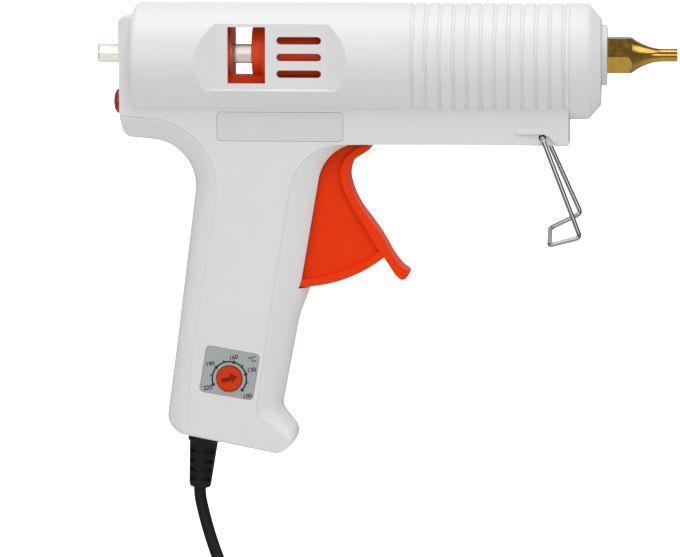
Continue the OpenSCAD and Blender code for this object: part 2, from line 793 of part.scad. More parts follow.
// Radius, layer height and place of the coil after t turns.
function coil_leg(t) = min(3, floor(t / coil_turns));
function coil_r(t) =
  let (k = coil_leg(t), u = t - k * coil_turns)
  k % 2 == 0 ? coil_out - coil_pitch * u : coil_out - coil_pitch * (coil_turns - u);
function ease(u) = u <= 0 ? 0 : (u >= 1 ? 1 : u * u * (3 - 2 * u));
function coil_h(t) = coil_y + coil_pitch * (ease((t - coil_turns + 0.25) / 0.5)
  + ease((t - 2 * coil_turns + 0.25) / 0.5) + ease((t - 3 * coil_turns + 0.25) / 0.5));
function coil_p(t) =
  let (a = coil_start - 360 * t)
  [coil_c[0] + coil_r(t) * cos(a), coil_h(t), coil_c[1] + coil_r(t) * sin(a)];
coil_end = 4 * coil_turns;
in_dir = unit(coil_p(0.004) - coil_p(0));
coil_in = coil_p(0) - in_dir * cord_d;
off_dir = unit(coil_p(coil_end) - coil_p(coil_end - 0.004));
coil_off = coil_p(coil_end) + off_dir * cord_d;
coil_line = concat([coil_in], [for (i = [0 : 24 * coil_end]) coil_p(i / 24)], [coil_off]);

lead_line = concat(
  [relief_p - lead_dir * 14, relief_p, relief_p + lead_dir * 9, relief_p + lead_dir * 17.4],
  smooth([relief_p + lead_dir * 17.4 + [0.06, 0, -1.4], [-16.1, 0, -81], [-13.6, -0.8, -90],
    [-10.5, -2.6, -100], [-6.6, -5, -112], coil_in - in_dir * 9, coil_in - in_dir * 1.6], 2),
  [coil_in]);

// Least distance between stretches of the coil more than half a turn apart.
function least_gap() = min([for (i = [1 : 24 * coil_end]) for (j = [i + 12 : 1 : 24 * coil_end + 1])
  norm(coil_line[i] - coil_line[j])]) - cord_d;
function way(p) = [for (i = [0 : len(p) - 2]) norm(p[i + 1] - p[i])] * [for (i = [0 : len(p) - 2]) 1];

plug_y = coil_off[1] + cord_r + 8;
plug_len = 34;
pin_free = 18;
pin_root = 10;
root_r = plug_pin_d / 2 - 0.3;
plug_top = [coil_off[0] + 6.5, plug_y, coil_off[2] - 26];
tail_line = concat([coil_off],
  smooth([coil_off + off_dir * 1.6, coil_off + off_dir * 6, [plug_top[0] - 1.6, plug_y - 5, plug_top[2] + 13],
    plug_top + [0, 0, 6], plug_top + [0, 0, 2]], 4),
  [plug_top - [0, 0, 4]]);

module cord_lead() {
  color("black") tube(lead_line, cord_r, 10);
}

module cord_coil() {
  color("black") tube(coil_line, cord_r, 6);
}

module cord_tail() {
  color("black") tube(tail_line, cord_r, 10);
}

// Band round the bundle at the bottom of the coil.
module cord_tie() {
  mid = coil_out - coil_pitch * coil_turns / 2;
  color("black") translate([coil_c[0], 0, coil_c[1] - mid]) difference() {
    rounded_block(6, 23.4, 17.8, 2);
    rounded_block(8, 21.4, 15.8, 1.2);
  }
}

// Block with its four long edges rounded, centred, long edges along X.
module rounded_block(l, w, h, r) {
  translate([-l / 2, 0, 0]) rotate([90, 0, 90]) linear_extrude(height = l) rounded_rect(w, h, r);
}

module plug_body() {
  color("black") translate(plug_top) difference() {
    union() {
      translate([0, 0, -8]) cylinder(h = 8, r = 4);
      translate([0, 0, -plug_len]) linear_extrude(height = 14) rounded_rect(35.4, 13.8, 5);
      translate([0, 0, -26]) linear_extrude(height = 12) rounded_rect(26, 12, 5);
      translate([0, 0, -16]) linear_extrude(height = 9) rounded_rect(15, 10, 4);
    }
    translate([0, 0, -4]) cylinder(h = 5, r = cord_r);
    for (s = [-1, 1])
      translate([s * plug_pitch / 2, 0, -plug_len - 1]) cylinder(h = pin_root + 1, r = root_r);
  }
}

module plug_pins() {
  color("silver")
    for (s = [-1, 1])
      translate([s * plug_pitch / 2, 0, 0] + plug_top) {
        translate([0, 0, -plug_len - 0.5]) cylinder(h = pin_root + 0.5, r = root_r);
        translate([0, 0, -plug_len - pin_free]) cylinder(h = pin_free, r = plug_pin_d / 2);
        translate([0, 0, -plug_len - pin_free - 1])
          cylinder(h = 1, r1 = plug_pin_d / 2 - 0.9, r2 = plug_pin_d / 2);
      }
}

// Wires inside the housing, each ending square on what it feeds.
function mains_line(side) = concat(smooth([[-15.2, side * 1.2, -42.6], [-16.4, side * 1.2, -30],
  [-17.6, side * 1.2, -5], [-16.6, side * 1.4, 18], [-12.6, side * 2, 42], [-14.4, side * 3, 60],
  [-20, side * 3, 72], [-29, side * 3, 72.5]], 3), [[-30.4, side * 3, 72.5]]);

function heater_line(dy) = concat(smooth([[0.4 + dy, -3.2, -8.5], [0.2 + dy / 2, -1, -3.5],
  [-3.4, 4 + dy, 6], [-3.4, 6 + dy, 16], [-2.6, 6 + dy, 40], [3, 6 + dy, 57], [13, 6 + dy, 62.5],
  [34, 5 + dy, 64], [56, 1.6 + dy, 64.2], [64.6, -0.4 + dy, 64.4], [66.6, -1 + dy, 69],
  [66.4, -1.1 + dy, 75], [67.8, -1.1 + dy, 77]], 3), [[69, -1.1 + dy, 77]]);

function sensor_line(dy) = concat(smooth([[3.9 + dy / 2, -3.3, -8.5], [2.8 + dy / 2, -3.1, -3],
  [-2.6, -5 - dy, 6], [-3.4, -6.4 - dy, 16], [-2.6, -6.4 - dy, 40], [3, -6.4 - dy, 57],
  [13, -6.4 - dy, 62.5], [34, -6.4 - dy, 64], [60, -6.4 - dy, 64.2], [67.4, -7.4 - dy, 67],
  [71, -10.4 - dy, 76], [78, -10.4 - dy, 88], [84, -6.6 - dy, 96.4], [88.8, -0.4 - dy, 96.7]], 3),
  [[90, -0.4 - dy, 96.7]]);

module mains_leads() {
  color("saddlebrown") tube(mains_line(-1), 0.8, 6);
  color("royalblue") tube(mains_line(1), 0.8, 6);
}

module heater_leads() {
  color("white")
    for (dy = [0, 2.2]) tube(heater_line(dy), 0.7, 6);
}

module sensor_leads() {
  color("gold")
    for (dy = [0, 1.5]) tube(sensor_line(dy), 0.5, 6);
}

// Wire stand, bent from one wire, the legs outside the rail.
leg_dir = unit([13.8, 0, -37.5]);
stand_knee = [stand_at[0], -stand_y, stand_at[1]] + leg_dir * leg_len;
stand_pts = [
  [stand_at[0], -9.5, stand_at[1]],
  [stand_at[0], -stand_y, stand_at[1]],
  stand_knee,
  stand_knee + [-10.9, 0.6, -3.2],
  stand_knee + [-11.6, 2 * stand_y - 0.6, -0.6],
  [stand_knee[0] - 0.9, stand_y, stand_knee[2] + 5],
  [stand_at[0], stand_y, stand_at[1]],
  [stand_at[0], 9.5, stand_at[1]]
];
stand_bend = [0, 1.6, 4, 3, 3, 4, 1.6, 0];

// Frame with its x axis along u and z axis along w.
module frame_at(p, u, w) {
  v = cross(w, u);
  multmatrix([[u[0], v[0], w[0], p[0]], [u[1], v[1], w[1], p[1]], [u[2], v[2], w[2], p[2]], [0, 0, 0, 1]])
    children();
}

module wire_path(pts, bend, r) {
  m = len(pts);
  cut = [for (i = [0 : m - 1]) i == 0 || i == m - 1 ? 0 :
    bend[i] / tan(acos(unit(pts[i - 1] - pts[i]) * unit(pts[i + 1] - pts[i])) / 2)];
  for (i = [0 : m - 2]) {
    d = unit(pts[i + 1] - pts[i]);
    side = unit(cross(d, abs(d[1]) > 0.9 ? [1, 0, 0] : [0, 1, 0]));
    frame_at(pts[i] + d * cut[i], side, d)
      cylinder(h = norm(pts[i + 1] - pts[i]) - cut[i] - cut[i + 1], r = r, $fn = 24);
  }
  for (i = [1 : m - 2]) {
    a = unit(pts[i - 1] - pts[i]);
    b = unit(pts[i + 1] - pts[i]);
    turn = 180 - acos(a * b);
    w = unit(cross(-a, b));
    c = pts[i] + unit(a + b) * bend[i] / cos(turn / 2);
    start = unit(pts[i] + a * cut[i] - c);
    frame_at(c, start, w)
      rotate_extrude(angle = turn, $fn = 48) translate([bend[i], 0]) circle(r = r, $fn = 24);
  }
}

module wire_stand() {
  color("silver") wire_path(stand_pts, stand_bend, wire_r);
}

echo(coil_gap = least_gap(), lead = way(lead_line), coil = way(coil_line), tail = way(tail_line));
echo(plug_top = plug_top, drive = drive, collar = collar_x, hex = hex_x, tip_end = tip_x + tip_len);
echo(stand = stand_pts, coil_in = coil_in, coil_off = coil_off);

right_housing_shell();
left_housing_shell();
nose_cap();
nozzle_collar();
nozzle();
melt_chamber();
inlet_sleeve();
sleeve_clamp();
chamber_rear_ring();
chamber_front_ring();
heater_element();
heater_clip();
thermistor();
thermal_fuse();
glue_stick();
feed_carriage();
grip_pawl();
pawl_pin();
pawl_spring();
return_spring();
trigger();
trigger_pin();
drive_pin();
power_button();
switch_body();
temperature_dial();
dial_plate();
rating_label();
potentiometer();
control_board();
triac();
film_capacitor();
control_chip();
housing_screws();
cord_clamp();
clamp_screws();
strain_relief();
cord_lead();
cord_coil();
cord_tail();
cord_tie();
plug_body();
plug_pins();
mains_leads();
heater_leads();
sensor_leads();
wire_stand();
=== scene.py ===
import math

import bmesh
import bpy
from mathutils import Matrix, Vector


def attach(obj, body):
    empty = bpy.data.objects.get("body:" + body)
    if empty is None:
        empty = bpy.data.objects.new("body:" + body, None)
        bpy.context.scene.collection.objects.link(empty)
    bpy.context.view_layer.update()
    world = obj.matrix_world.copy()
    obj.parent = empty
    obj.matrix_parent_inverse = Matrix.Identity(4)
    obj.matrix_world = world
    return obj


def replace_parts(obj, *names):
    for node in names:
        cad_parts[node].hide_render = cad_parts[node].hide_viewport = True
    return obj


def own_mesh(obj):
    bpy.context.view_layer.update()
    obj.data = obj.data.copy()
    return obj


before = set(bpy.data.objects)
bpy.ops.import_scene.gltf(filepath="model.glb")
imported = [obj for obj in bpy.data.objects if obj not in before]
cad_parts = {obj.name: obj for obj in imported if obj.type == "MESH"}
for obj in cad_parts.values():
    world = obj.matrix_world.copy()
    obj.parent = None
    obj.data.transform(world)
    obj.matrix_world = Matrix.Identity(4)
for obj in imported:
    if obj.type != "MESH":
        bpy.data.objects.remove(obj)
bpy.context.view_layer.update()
scene = bpy.context.scene
scene.view_settings.view_transform = "Standard"
MM = 0.001

# Main sizes of the gun, in millimetres, as in the part's source.
SLAB_HALF, WALL = 13.0, 2.2
INNER_HALF = SLAB_HALF - WALL
BARREL_R, BARREL_Z = 21.6, 85.5
BORE_R = BARREL_R - WALL
BARREL_BACK, BARREL_FRONT = -42.0, 121.5
REAR_X, CAP_END = -48.0, 133.1
STICK_R, STICK_Z = 3.6, 88.0
RECESS_Y = 16.2
RECESS_IN = RECESS_Y - WALL
PIVOT = (20.0, 52.5)
DRIVE = (16.614, 71.704)
SWEEP_R = 51.75
DIAL_AT = (-5.5, -33.5)
PLATE_AT, PLATE_TILT, PLATE_W, PLATE_H = (-5.4, -31.3), 9.5, 20.5, 17.7
LABEL_AT, LABEL_W, LABEL_H = (13.7, 61.4), 47.3, 10.9
BUTTON_Z, BUTTON_R = 70.0, 4.7
STAND_AT, WIRE_R = (111.6, 57.8), 0.9
SCREWS = [(-26, 66), (60, 58.8), (103, 58.8), (-10.5, 15), (9.5, -56)]
RELIEF_AT, RELIEF_LEAN = (-16.4, -56.5), 5.0
CORD_R = 2.3
PLUG_TOP = (6.4, 18.1, -160.512)


# Camera at the photograph's viewing angle.
CAMERA_AZIMUTH, CAMERA_ELEVATION = math.radians(4.5), math.radians(6.0)
CAMERA_TARGET = Vector((35.2, 0, 3.3)) * MM
CAMERA_DISTANCE, CAMERA_LENS = 1.592, 223.5


def linked(name, data):
    obj = bpy.data.objects.new(name, data)
    scene.collection.objects.link(obj)
    return obj


def make_camera():
    data = bpy.data.cameras.new("camera")
    data.sensor_width = 36
    data.lens = CAMERA_LENS
    data.clip_start = 0.05
    camera = linked("camera", data)
    look = Vector((math.sin(CAMERA_AZIMUTH) * math.cos(CAMERA_ELEVATION),
                   -math.cos(CAMERA_AZIMUTH) * math.cos(CAMERA_ELEVATION),
                   math.sin(CAMERA_ELEVATION)))
    camera.location = CAMERA_TARGET + look * CAMERA_DISTANCE
    camera.rotation_euler = look.to_track_quat("Z", "Y").to_euler()
    scene.camera = camera


make_camera()


# Materials: every one has colour, roughness and bump from its nodes.
def map_range(tree, value, came, goes, smooth=False):
    """Value moved from one range to another."""
    node = tree.nodes.new("ShaderNodeMapRange")
    for key, number in zip(("From Min", "From Max", "To Min", "To Max"), (*came, *goes)):
        node.inputs[key].default_value = number
    if smooth:
        node.interpolation_type = "SMOOTHSTEP"
    tree.links.new(value, node.inputs["Value"])
    return node.outputs["Result"]


def noise(tree, where, scale, detail):
    node = tree.nodes.new("ShaderNodeTexNoise")
    node.inputs["Scale"].default_value = scale
    node.inputs["Detail"].default_value = detail
    tree.links.new(where, node.inputs["Vector"])
    return node.outputs["Fac"]


def finish_of(name, base, rough, metallic=0.0, vary=0.1, blotch=200, rough_vary=0.08, grain=2500,
              bump=0.05, coat=0.0, shine=0.5, transmission=0.0, ior=1.5, brushed=None, round_edges=0.0):
    """Material whose colour and roughness vary in blotches, with a fine grain on its surface."""
    mat = bpy.data.materials.new(name)
    mat.use_nodes = True
    tree = mat.node_tree
    nodes, links = tree.nodes, tree.links
    shader = nodes["Principled BSDF"]
    place = nodes.new("ShaderNodeTexCoord")
    where = place.outputs["Object"]
    if brushed:
        stretch = nodes.new("ShaderNodeMapping")
        stretch.inputs["Scale"].default_value = brushed
        links.new(where, stretch.inputs["Vector"])
        where = stretch.outputs["Vector"]
    tone = noise(tree, place.outputs["Object"], blotch, 4)
    mix = nodes.new("ShaderNodeMix")
    mix.data_type = "RGBA"
    mix.inputs[6].default_value = (*[c * (1 - vary) for c in base], 1)
    mix.inputs[7].default_value = (*[min(1, c * (1 + vary * 0.5)) for c in base], 1)
    links.new(tone, mix.inputs[0])
    links.new(mix.outputs[2], shader.inputs["Base Color"])
    spread = (max(0.02, rough - rough_vary), min(1, rough + rough_vary))
    links.new(map_range(tree, tone, (0, 1), spread), shader.inputs["Roughness"])
    relief = nodes.new("ShaderNodeBump")
    relief.inputs["Strength"].default_value = bump
    relief.inputs["Distance"].default_value = 0.0002
    links.new(noise(tree, where, grain, 3), relief.inputs["Height"])
    if round_edges:
        edge = nodes.new("ShaderNodeBevel")
        edge.samples = 6
        edge.inputs["Radius"].default_value = round_edges
        links.new(edge.outputs["Normal"], relief.inputs["Normal"])
    links.new(relief.outputs["Normal"], shader.inputs["Normal"])
    settings = {"Metallic": metallic, "Coat Weight": coat, "Coat Roughness": 0.2, "IOR": ior,
                "Transmission Weight": transmission, "Specular IOR Level": shine}
    for key, number in settings.items():
        shader.inputs[key].default_value = number
    return mat


WHITE = finish_of("moulded_white", (0.83, 0.83, 0.835), 0.4, vary=0.02, blotch=45, grain=4200,
                  round_edges=0.0003)
NOSE_WHITE = finish_of("nose_white", (0.82, 0.82, 0.825), 0.36, vary=0.02, blotch=45, grain=4200)
ORANGE = finish_of("moulded_orange", (0.97, 0.05, 0.002), 0.4, vary=0.07, blotch=60, grain=4000,
                   shine=0.12, round_edges=0.0004)
# Painted light: the carriage's orange is paler in green and blue than the trigger's, to brighten the
# carriage where it sits in shade behind the window and slots.
CARRIAGE_ORANGE_PAINTED_LIGHT = finish_of("carriage_orange_painted_light", (1.0, 0.085, 0.008), 0.36, vary=0.05, blotch=60,
                            grain=4000, shine=0.3)
KNOB_ORANGE = finish_of("knob_orange", (0.72, 0.05, 0.003), 0.42, vary=0.06, blotch=120, grain=5000,
                        bump=0.06, shine=0.12)
# Painted shade: a dark red for the floor of the knob's sunken arrow, standing in for the shade in that
# recess.
ARROW_PAINTED_SHADE = finish_of("arrow_painted_shade", (0.30, 0.012, 0.004), 0.55, blotch=300, grain=5000, bump=0.06,
                      shine=0.3)
RED = finish_of("button_red", (0.40, 0.012, 0.014), 0.3, vary=0.08, blotch=150, grain=4000, bump=0.03,
                coat=0.3)
BRASS = finish_of("turned_brass", (0.84, 0.50, 0.10), 0.17, metallic=1.0, vary=0.35, blotch=420,
                  rough_vary=0.1, grain=900, bump=0.07, brushed=(14, 1, 1))
CHROME = finish_of("bright_wire", (0.6, 0.6, 0.61), 0.08, metallic=1.0, vary=0.05, blotch=300,
                   rough_vary=0.02, grain=400, bump=0.002)
STEEL = finish_of("plain_steel", (0.55, 0.55, 0.56), 0.32, metallic=1.0, vary=0.08, grain=1800)
ALUMINIUM = finish_of("cast_aluminium", (0.66, 0.67, 0.68), 0.45, metallic=1.0, blotch=120, grain=1500,
                      bump=0.18)
BLACK = finish_of("black_rubber", (0.009, 0.009, 0.0095), 0.5, vary=0.25, blotch=140, grain=2600,
                  bump=0.1, shine=0.25)
PLUG_BLACK = finish_of("plug_black", (0.011, 0.011, 0.0115), 0.45, vary=0.2, blotch=90, grain=4200,
                       bump=0.12, shine=0.3)
COLLAR = finish_of("collar_grey", (0.74, 0.75, 0.76), 0.5, vary=0.05, blotch=150, grain=2600, bump=0.08)
PLATE = finish_of("dial_plate_grey", (0.43, 0.45, 0.455), 0.42, vary=0.05, grain=2200, bump=0.04,
                  brushed=(1, 1, 12))
LABEL = finish_of("label_grey", (0.77, 0.77, 0.75), 0.34, vary=0.03, blotch=160, grain=2200, bump=0.03,
                  coat=0.2)
PRINT = finish_of("print_black", (0.02, 0.02, 0.022), 0.5, vary=0.2, blotch=600, grain=3000, bump=0.02)
STICK = finish_of("glue_clear", (0.985, 0.94, 0.88), 0.2, vary=0.03, blotch=120, grain=900, bump=0.04,
                  transmission=0.7, ior=1.4)
SILICONE = finish_of("silicone_blue", (0.35, 0.52, 0.6), 0.5, vary=0.06, blotch=160, grain=2000,
                     bump=0.06)
BOARD = finish_of("board_green", (0.03, 0.16, 0.06), 0.4, vary=0.15, blotch=260, grain=1800)
CERAMIC = finish_of("heater_tan", (0.55, 0.42, 0.28), 0.6, vary=0.12, grain=1500, bump=0.15)
SENSOR = finish_of("sensor_amber", (0.62, 0.25, 0.04), 0.4, grain=1500, bump=0.06)
DARK = finish_of("dark_plastic", (0.03, 0.03, 0.033), 0.4, vary=0.15, blotch=150, grain=3000, bump=0.06)
BLUE = finish_of("pot_blue", (0.06, 0.16, 0.4), 0.4)
FILM = finish_of("film_red", (0.4, 0.05, 0.035), 0.35)
WIRE = finish_of("wire_jacket", (0.6, 0.58, 0.54), 0.45)


# Mesh helpers, in millimetres.
def solid(verts, faces):
    """Mesh object whose places are rounded, so that those meant to be equal are equal in a boolean."""
    mesh = bpy.data.meshes.new("scratch")
    mesh.from_pydata([tuple(round(c, 6) * MM for c in v) for v in verts], [], faces)
    mesh.validate()
    net = bmesh.new()
    net.from_mesh(mesh)
    bmesh.ops.recalc_face_normals(net, faces=net.faces)
    net.to_mesh(mesh)
    net.free()
    return linked("scratch", mesh)


def evaluated_mesh(obj):
    bpy.context.view_layer.update()
    return bpy.data.meshes.new_from_object(obj.evaluated_get(bpy.context.evaluated_depsgraph_get()))


def combine(obj, operation, others):
    """Boolean of obj with all the others, which are used up."""
    group = bpy.data.collections.new("cutters")
    for other in others:
        group.objects.link(other)
    mod = obj.modifiers.new("boolean", "BOOLEAN")
    mod.operand_type = "COLLECTION"
    mod.collection = group
    mod.operation = operation
    mod.solver = "EXACT"
    mesh = evaluated_mesh(obj)
    obj.modifiers.clear()
    obj.data = mesh
    for other in others:
        bpy.data.objects.remove(other)
    bpy.data.collections.remove(group)
    return obj


def cut(obj, *others):
    return combine(obj, "DIFFERENCE", others)


def join(obj, *others):
    return combine(obj, "UNION", others)


def piece(obj, name, body, material, stands_for=(), sharp=32, weighted=True):
    """Name a finished solid, shade it, give it its material and let it ride on a body."""
    obj.name = name
    obj.data.name = name
    mesh = obj.data
    mesh.materials.clear()
    mesh.materials.append(material)
    for face in mesh.polygons:
        face.material_index = 0
        face.use_smooth = True
    mesh.set_sharp_from_angle(angle=math.radians(sharp))
    if weighted:
        mod = obj.modifiers.new("normals", "WEIGHTED_NORMAL")
        mod.keep_sharp = True
        mod.weight = 70
    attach(obj, body)
    if stands_for:
        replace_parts(obj, *stands_for)
    return obj


ON_AXIS = 1e-6
AXIS_X = Matrix(((0, 0, 1, 0), (-1, 0, 0, 0), (0, 1, 0, 0), (0, 0, 0, 1)))
AXIS_Y = Matrix(((1, 0, 0, 0), (0, 0, 1, 0), (0, 1, 0, 0), (0, 0, 0, 1)))


def along_x(z, y=0):
    return Matrix.Translation((0, y, z)) @ AXIS_X


def along_y(x, z):
    return Matrix.Translation((x, 0, z)) @ AXIS_Y


def revolve(profile, place, n=96):
    """Solid of revolution of (radius, height) points, whose first and last may lie on the axis."""
    angles = [math.radians(-90 + 360 * i / n) for i in range(n)]
    verts, rings = [], []
    for r, h in profile:
        ring = []
        for a in angles:
            if r < ON_AXIS and ring:
                ring.append(ring[0])
                continue
            verts.append(place @ Vector((r * math.cos(a), r * math.sin(a), h)))
            ring.append(len(verts) - 1)
        rings.append(ring)
    m = len(rings)
    closed = profile[0][0] > ON_AXIS
    faces = []
    for j in range(m if closed else m - 1):
        low, high = rings[j], rings[(j + 1) % m]
        for i in range(n):
            k = (i + 1) % n
            face = [low[i], low[k], high[k], high[i]]
            face = [v for p, v in enumerate(face) if v not in face[:p]]
            if len(face) > 2:
                faces.append(face)
    return solid(verts, faces)


def rod(r, low, high, place, n=48):
    return revolve([(0, low), (r, low), (r, high), (0, high)], place, n)


def tube_y(x, z, r, y0, y1, n=48):
    return rod(r, y0, y1, along_y(x, z), n)


def tube_x(x0, x1, r, z, n=48):
    return rod(r, x0, x1, along_x(z), n)


def lofted(rings):
    """Closed solid through rings that have the same number of points, with flat ends."""
    n, m = len(rings[0]), len(rings)
    faces = [[j * n + i, j * n + (i + 1) % n, (j + 1) * n + (i + 1) % n, (j + 1) * n + i]
             for j in range(m - 1) for i in range(n)]
    faces += [list(range(n)), list(range((m - 1) * n, m * n))]
    return solid([p for ring in rings for p in ring], faces)


def prism(poly, y0, y1):
    """Outline of (x, z) points extruded along y."""
    return lofted([[(x, y, z) for x, z in poly] for y in (y0, y1)])


def block(x, y, z):
    return lofted([[(x[0], y[0], h), (x[1], y[0], h), (x[1], y[1], h), (x[0], y[1], h)] for h in z])


def rounded_prism(poly, y0, y1, edge, segments=3):
    """Outline extruded along y with its two rims rounded."""
    obj = prism(poly, y0, y1)
    net = bmesh.new()
    net.from_mesh(obj.data)
    rims = [e for e in net.edges if abs(e.verts[0].co.y - e.verts[1].co.y) < 1e-7]
    bmesh.ops.bevel(net, geom=rims, offset=edge * MM, segments=segments, profile=0.5, affect="EDGES",
                    clamp_overlap=True)
    bmesh.ops.recalc_face_normals(net, faces=net.faces)
    net.to_mesh(obj.data)
    net.free()
    return obj


def arc(centre, r, a0, a1, n):
    return [(centre[0] + r * math.cos(math.radians(a0 + (a1 - a0) * i / n)),
             centre[1] + r * math.sin(math.radians(a0 + (a1 - a0) * i / n))) for i in range(n + 1)]


def stadium(x0, x1, z, h):
    r = h / 2
    return arc((x1 - r, z), r, -90, 90, 12) + arc((x0 + r, z), r, 90, 270, 12)


def turned(points, centre, tilt):
    c, s = math.cos(math.radians(tilt)), math.sin(math.radians(tilt))
    return [(centre[0] + c * x - s * z, centre[1] + s * x + c * z) for x, z in points]


def rounded_rect(centre, w, h, r, tilt=0.0):
    corners = [(1, 1, 0), (-1, 1, 90), (-1, -1, 180), (1, -1, 270)]
    pts = [p for sx, sy, a in corners for p in arc((sx * (w / 2 - r), sy * (h / 2 - r)), r, a, a + 90, 6)]
    return turned(pts, centre, tilt)


def relaxed(poly, rounds=2):
    """Outline with its corners cut again and again, so that it runs smoothly."""
    for _ in range(rounds):
        n = len(poly)
        poly = [p for i in range(n) for p in (
            tuple(0.75 * a + 0.25 * b for a, b in zip(poly[i], poly[(i + 1) % n])),
            tuple(0.25 * a + 0.75 * b for a, b in zip(poly[i], poly[(i + 1) % n])))]
    return poly


# Cord, from the strain relief to the coil below the view and to the plug.
LEAD_DIR = Vector((-math.sin(math.radians(RELIEF_LEAN)), 0, -math.cos(math.radians(RELIEF_LEAN))))
RELIEF_P = Vector((RELIEF_AT[0], 0, RELIEF_AT[1]))
RELIEF_PLACE = Matrix.Translation(RELIEF_P) @ Matrix.Rotation(math.radians(180 + RELIEF_LEAN), 4, "Y")
COIL_C, COIL_START, COIL_OUT, COIL_PITCH, COIL_TURNS, COIL_Y = (-30.5, -139.0), 17.0, 30.2, 5.2, 2, -7.8
COIL_LAYERS = 4
COIL_END = COIL_LAYERS * COIL_TURNS


def ease(u):
    u = min(1.0, max(0.0, u))
    return u * u * (3 - 2 * u)


def coil_point(t):
    """Place after t turns: layers side by side, wound inwards and outwards by turns."""
    layer = min(COIL_LAYERS - 1, int(t // COIL_TURNS))
    u = t - layer * COIL_TURNS
    r = COIL_OUT - COIL_PITCH * (u if layer % 2 == 0 else COIL_TURNS - u)
    steps = [ease((t - k * COIL_TURNS + 0.25) / 0.5) for k in range(1, COIL_LAYERS)]
    y = COIL_Y + COIL_PITCH * sum(steps)
    a = math.radians(COIL_START - 360 * t)
    return Vector((COIL_C[0] + r * math.cos(a), y, COIL_C[1] + r * math.sin(a)))


def smooth_line(points, steps):
    """Smooth curve through given points."""
    pts = [Vector(p) for p in points]
    m, out = len(pts), []
    for i in range(m - 1):
        a, b, c, d = pts[max(i - 1, 0)], pts[i], pts[i + 1], pts[min(i + 2, m - 1)]
        for k in range(steps):
            t = k / steps
            out.append(0.5 * ((2 * b) + (c - a) * t + (2 * a - 5 * b + 4 * c - d) * t * t
                              + (3 * b - a - 3 * c + d) * t ** 3))
    return out + [pts[-1]]


def curve_tube(name, points, r, body, material, sides=4, as_mesh=False):
    data = bpy.data.curves.new(name, "CURVE")
    data.dimensions = "3D"
    data.bevel_depth = r * MM
    data.bevel_resolution = sides
    data.use_fill_caps = True
    line = data.splines.new("POLY")
    line.points.add(len(points) - 1)
    for spot, p in zip(line.points, points):
        spot.co = (*(Vector(p) * MM), 1)
    line.use_smooth = True
    data.materials.append(material)
    obj = linked(name, data)
    if as_mesh:
        mesh = evaluated_mesh(obj)
        bpy.data.objects.remove(obj)
        obj = linked(name, mesh)
    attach(obj, body)
    return obj


def build_cord():
    in_dir = (coil_point(0.004) - coil_point(0)).normalized()
    coil_in = coil_point(0) - in_dir * 2 * CORD_R
    off_dir = (coil_point(COIL_END) - coil_point(COIL_END - 0.004)).normalized()
    coil_off = coil_point(COIL_END) + off_dir * 2 * CORD_R
    leave = RELIEF_P + LEAD_DIR * 19.4
    top = Vector(PLUG_TOP)
    lead = smooth_line([leave, leave + LEAD_DIR, (-18.1, 0, -79), (-17.6, -0.1, -82.5), (-15.4, -0.8, -91),
                        (-12.2, -2.2, -100.5), (-7.4, -4.6, -112), coil_in - in_dir * 9, coil_in], 6)
    coil = [coil_point(i / 60) for i in range(60 * COIL_END + 1)]
    tail = smooth_line([coil_off, coil_off + off_dir * 6, (top.x - 1.6, top.y - 5, top.z + 13),
                        top + Vector((0, 0, 6)), top + Vector((0, 0, 2)), top - Vector((0, 0, 3.9))], 6)
    line = lead + coil + tail
    length = sum((b - a).length for a, b in zip(line, line[1:]))
    cord = curve_tube("mains_cord", line, CORD_R, "housing", BLACK)
    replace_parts(cord, "cord_lead", "cord_coil", "cord_tail")
    curve_tube("cord_in_grip", [RELIEF_P - LEAD_DIR * 14, RELIEF_P, leave], CORD_R, "housing", BLACK)
    return cord, leave, length


cord, cord_exit, cord_length = build_cord()


# Housing halves: a flat slab with rounded flanks, the grooved barrel on it, and the fittings inside.
# Corners are x, z, radius and the number of points on the corner. The rail under the barrel ends a hair
# behind it, so that the two front faces don't lie in one plane.
RAIL_FRONT = BARREL_FRONT - 0.05
OUTLINE = [(REAR_X + 0.6, 102.5, 2.8, 8), (-46.0, 56.7, 2.6, 9), (-17.2, 53.9, 17.5, 16), (-27, -25, 0, 1),
           (-30.9, -54, 6.5, 9), (14.5, -62.6, 9, 11), (21.2, -54.6, 6, 11), (13.6, -44.8, 5, 8),
           (20, -11, 30, 5), (25.2, 3, 30, 5), (34.2, 55.3, 14.6, 14), (RAIL_FRONT, 54.5, 0.7, 9),
           (RAIL_FRONT, 72, 1, 3), (-36, 72, 3, 4), (-36, 102.5, 2, 5)]
PANEL = [(-46.8, 101.9, 2.2, 8), (-46.6, 65.3, 0.6, 9), (-6.2, 61.7, 26.5, 16), (-19.6, -25, 0, 1),
         (-21.8, -54.7, 0.6, 9), (14, -61.7, 3.6, 11), (17.6, -58.2, 1.6, 11), (4.4, -47.2, 6, 8),
         (9.4, -11, 30, 5), (11.7, 3, 30, 5), (20.2, 54.7, 20, 14), (120.8, 55.1, 0.4, 9),
         (120.8, 71.4, 0.6, 3), (-36.6, 71.4, 3.2, 4), (-36.6, 101.9, 1.4, 5)]
FLANK_END = math.radians(13)
STRAIGHT_STEP = 6.0
CREASE_W = 0.08


def corner(p, before, after, r, n):
    """Round corner of n points, or the bare point itself."""
    if n == 1:
        return [p]
    u, v = (before - p).normalized(), (after - p).normalized()
    half = math.acos(max(-1, min(1, u.dot(v)))) / 2
    c = p + (u + v).normalized() * (r / math.sin(half))
    a0 = math.atan2(*reversed(p + u * (r / math.tan(half)) - c))
    gap = math.atan2(*reversed(p + v * (r / math.tan(half)) - c)) - a0
    gap = (gap + math.pi) % (2 * math.pi) - math.pi
    angles = [a0 + gap * k / (n - 1) for k in range(n)]
    return [c + r * Vector((math.cos(a), math.sin(a))) for a in angles]


def corners_of(ctrl):
    pts = [Vector(c[:2]) for c in ctrl]
    m = len(pts)
    return [corner(pts[i], pts[i - 1], pts[(i + 1) % m], ctrl[i][2], ctrl[i][3]) for i in range(m)]


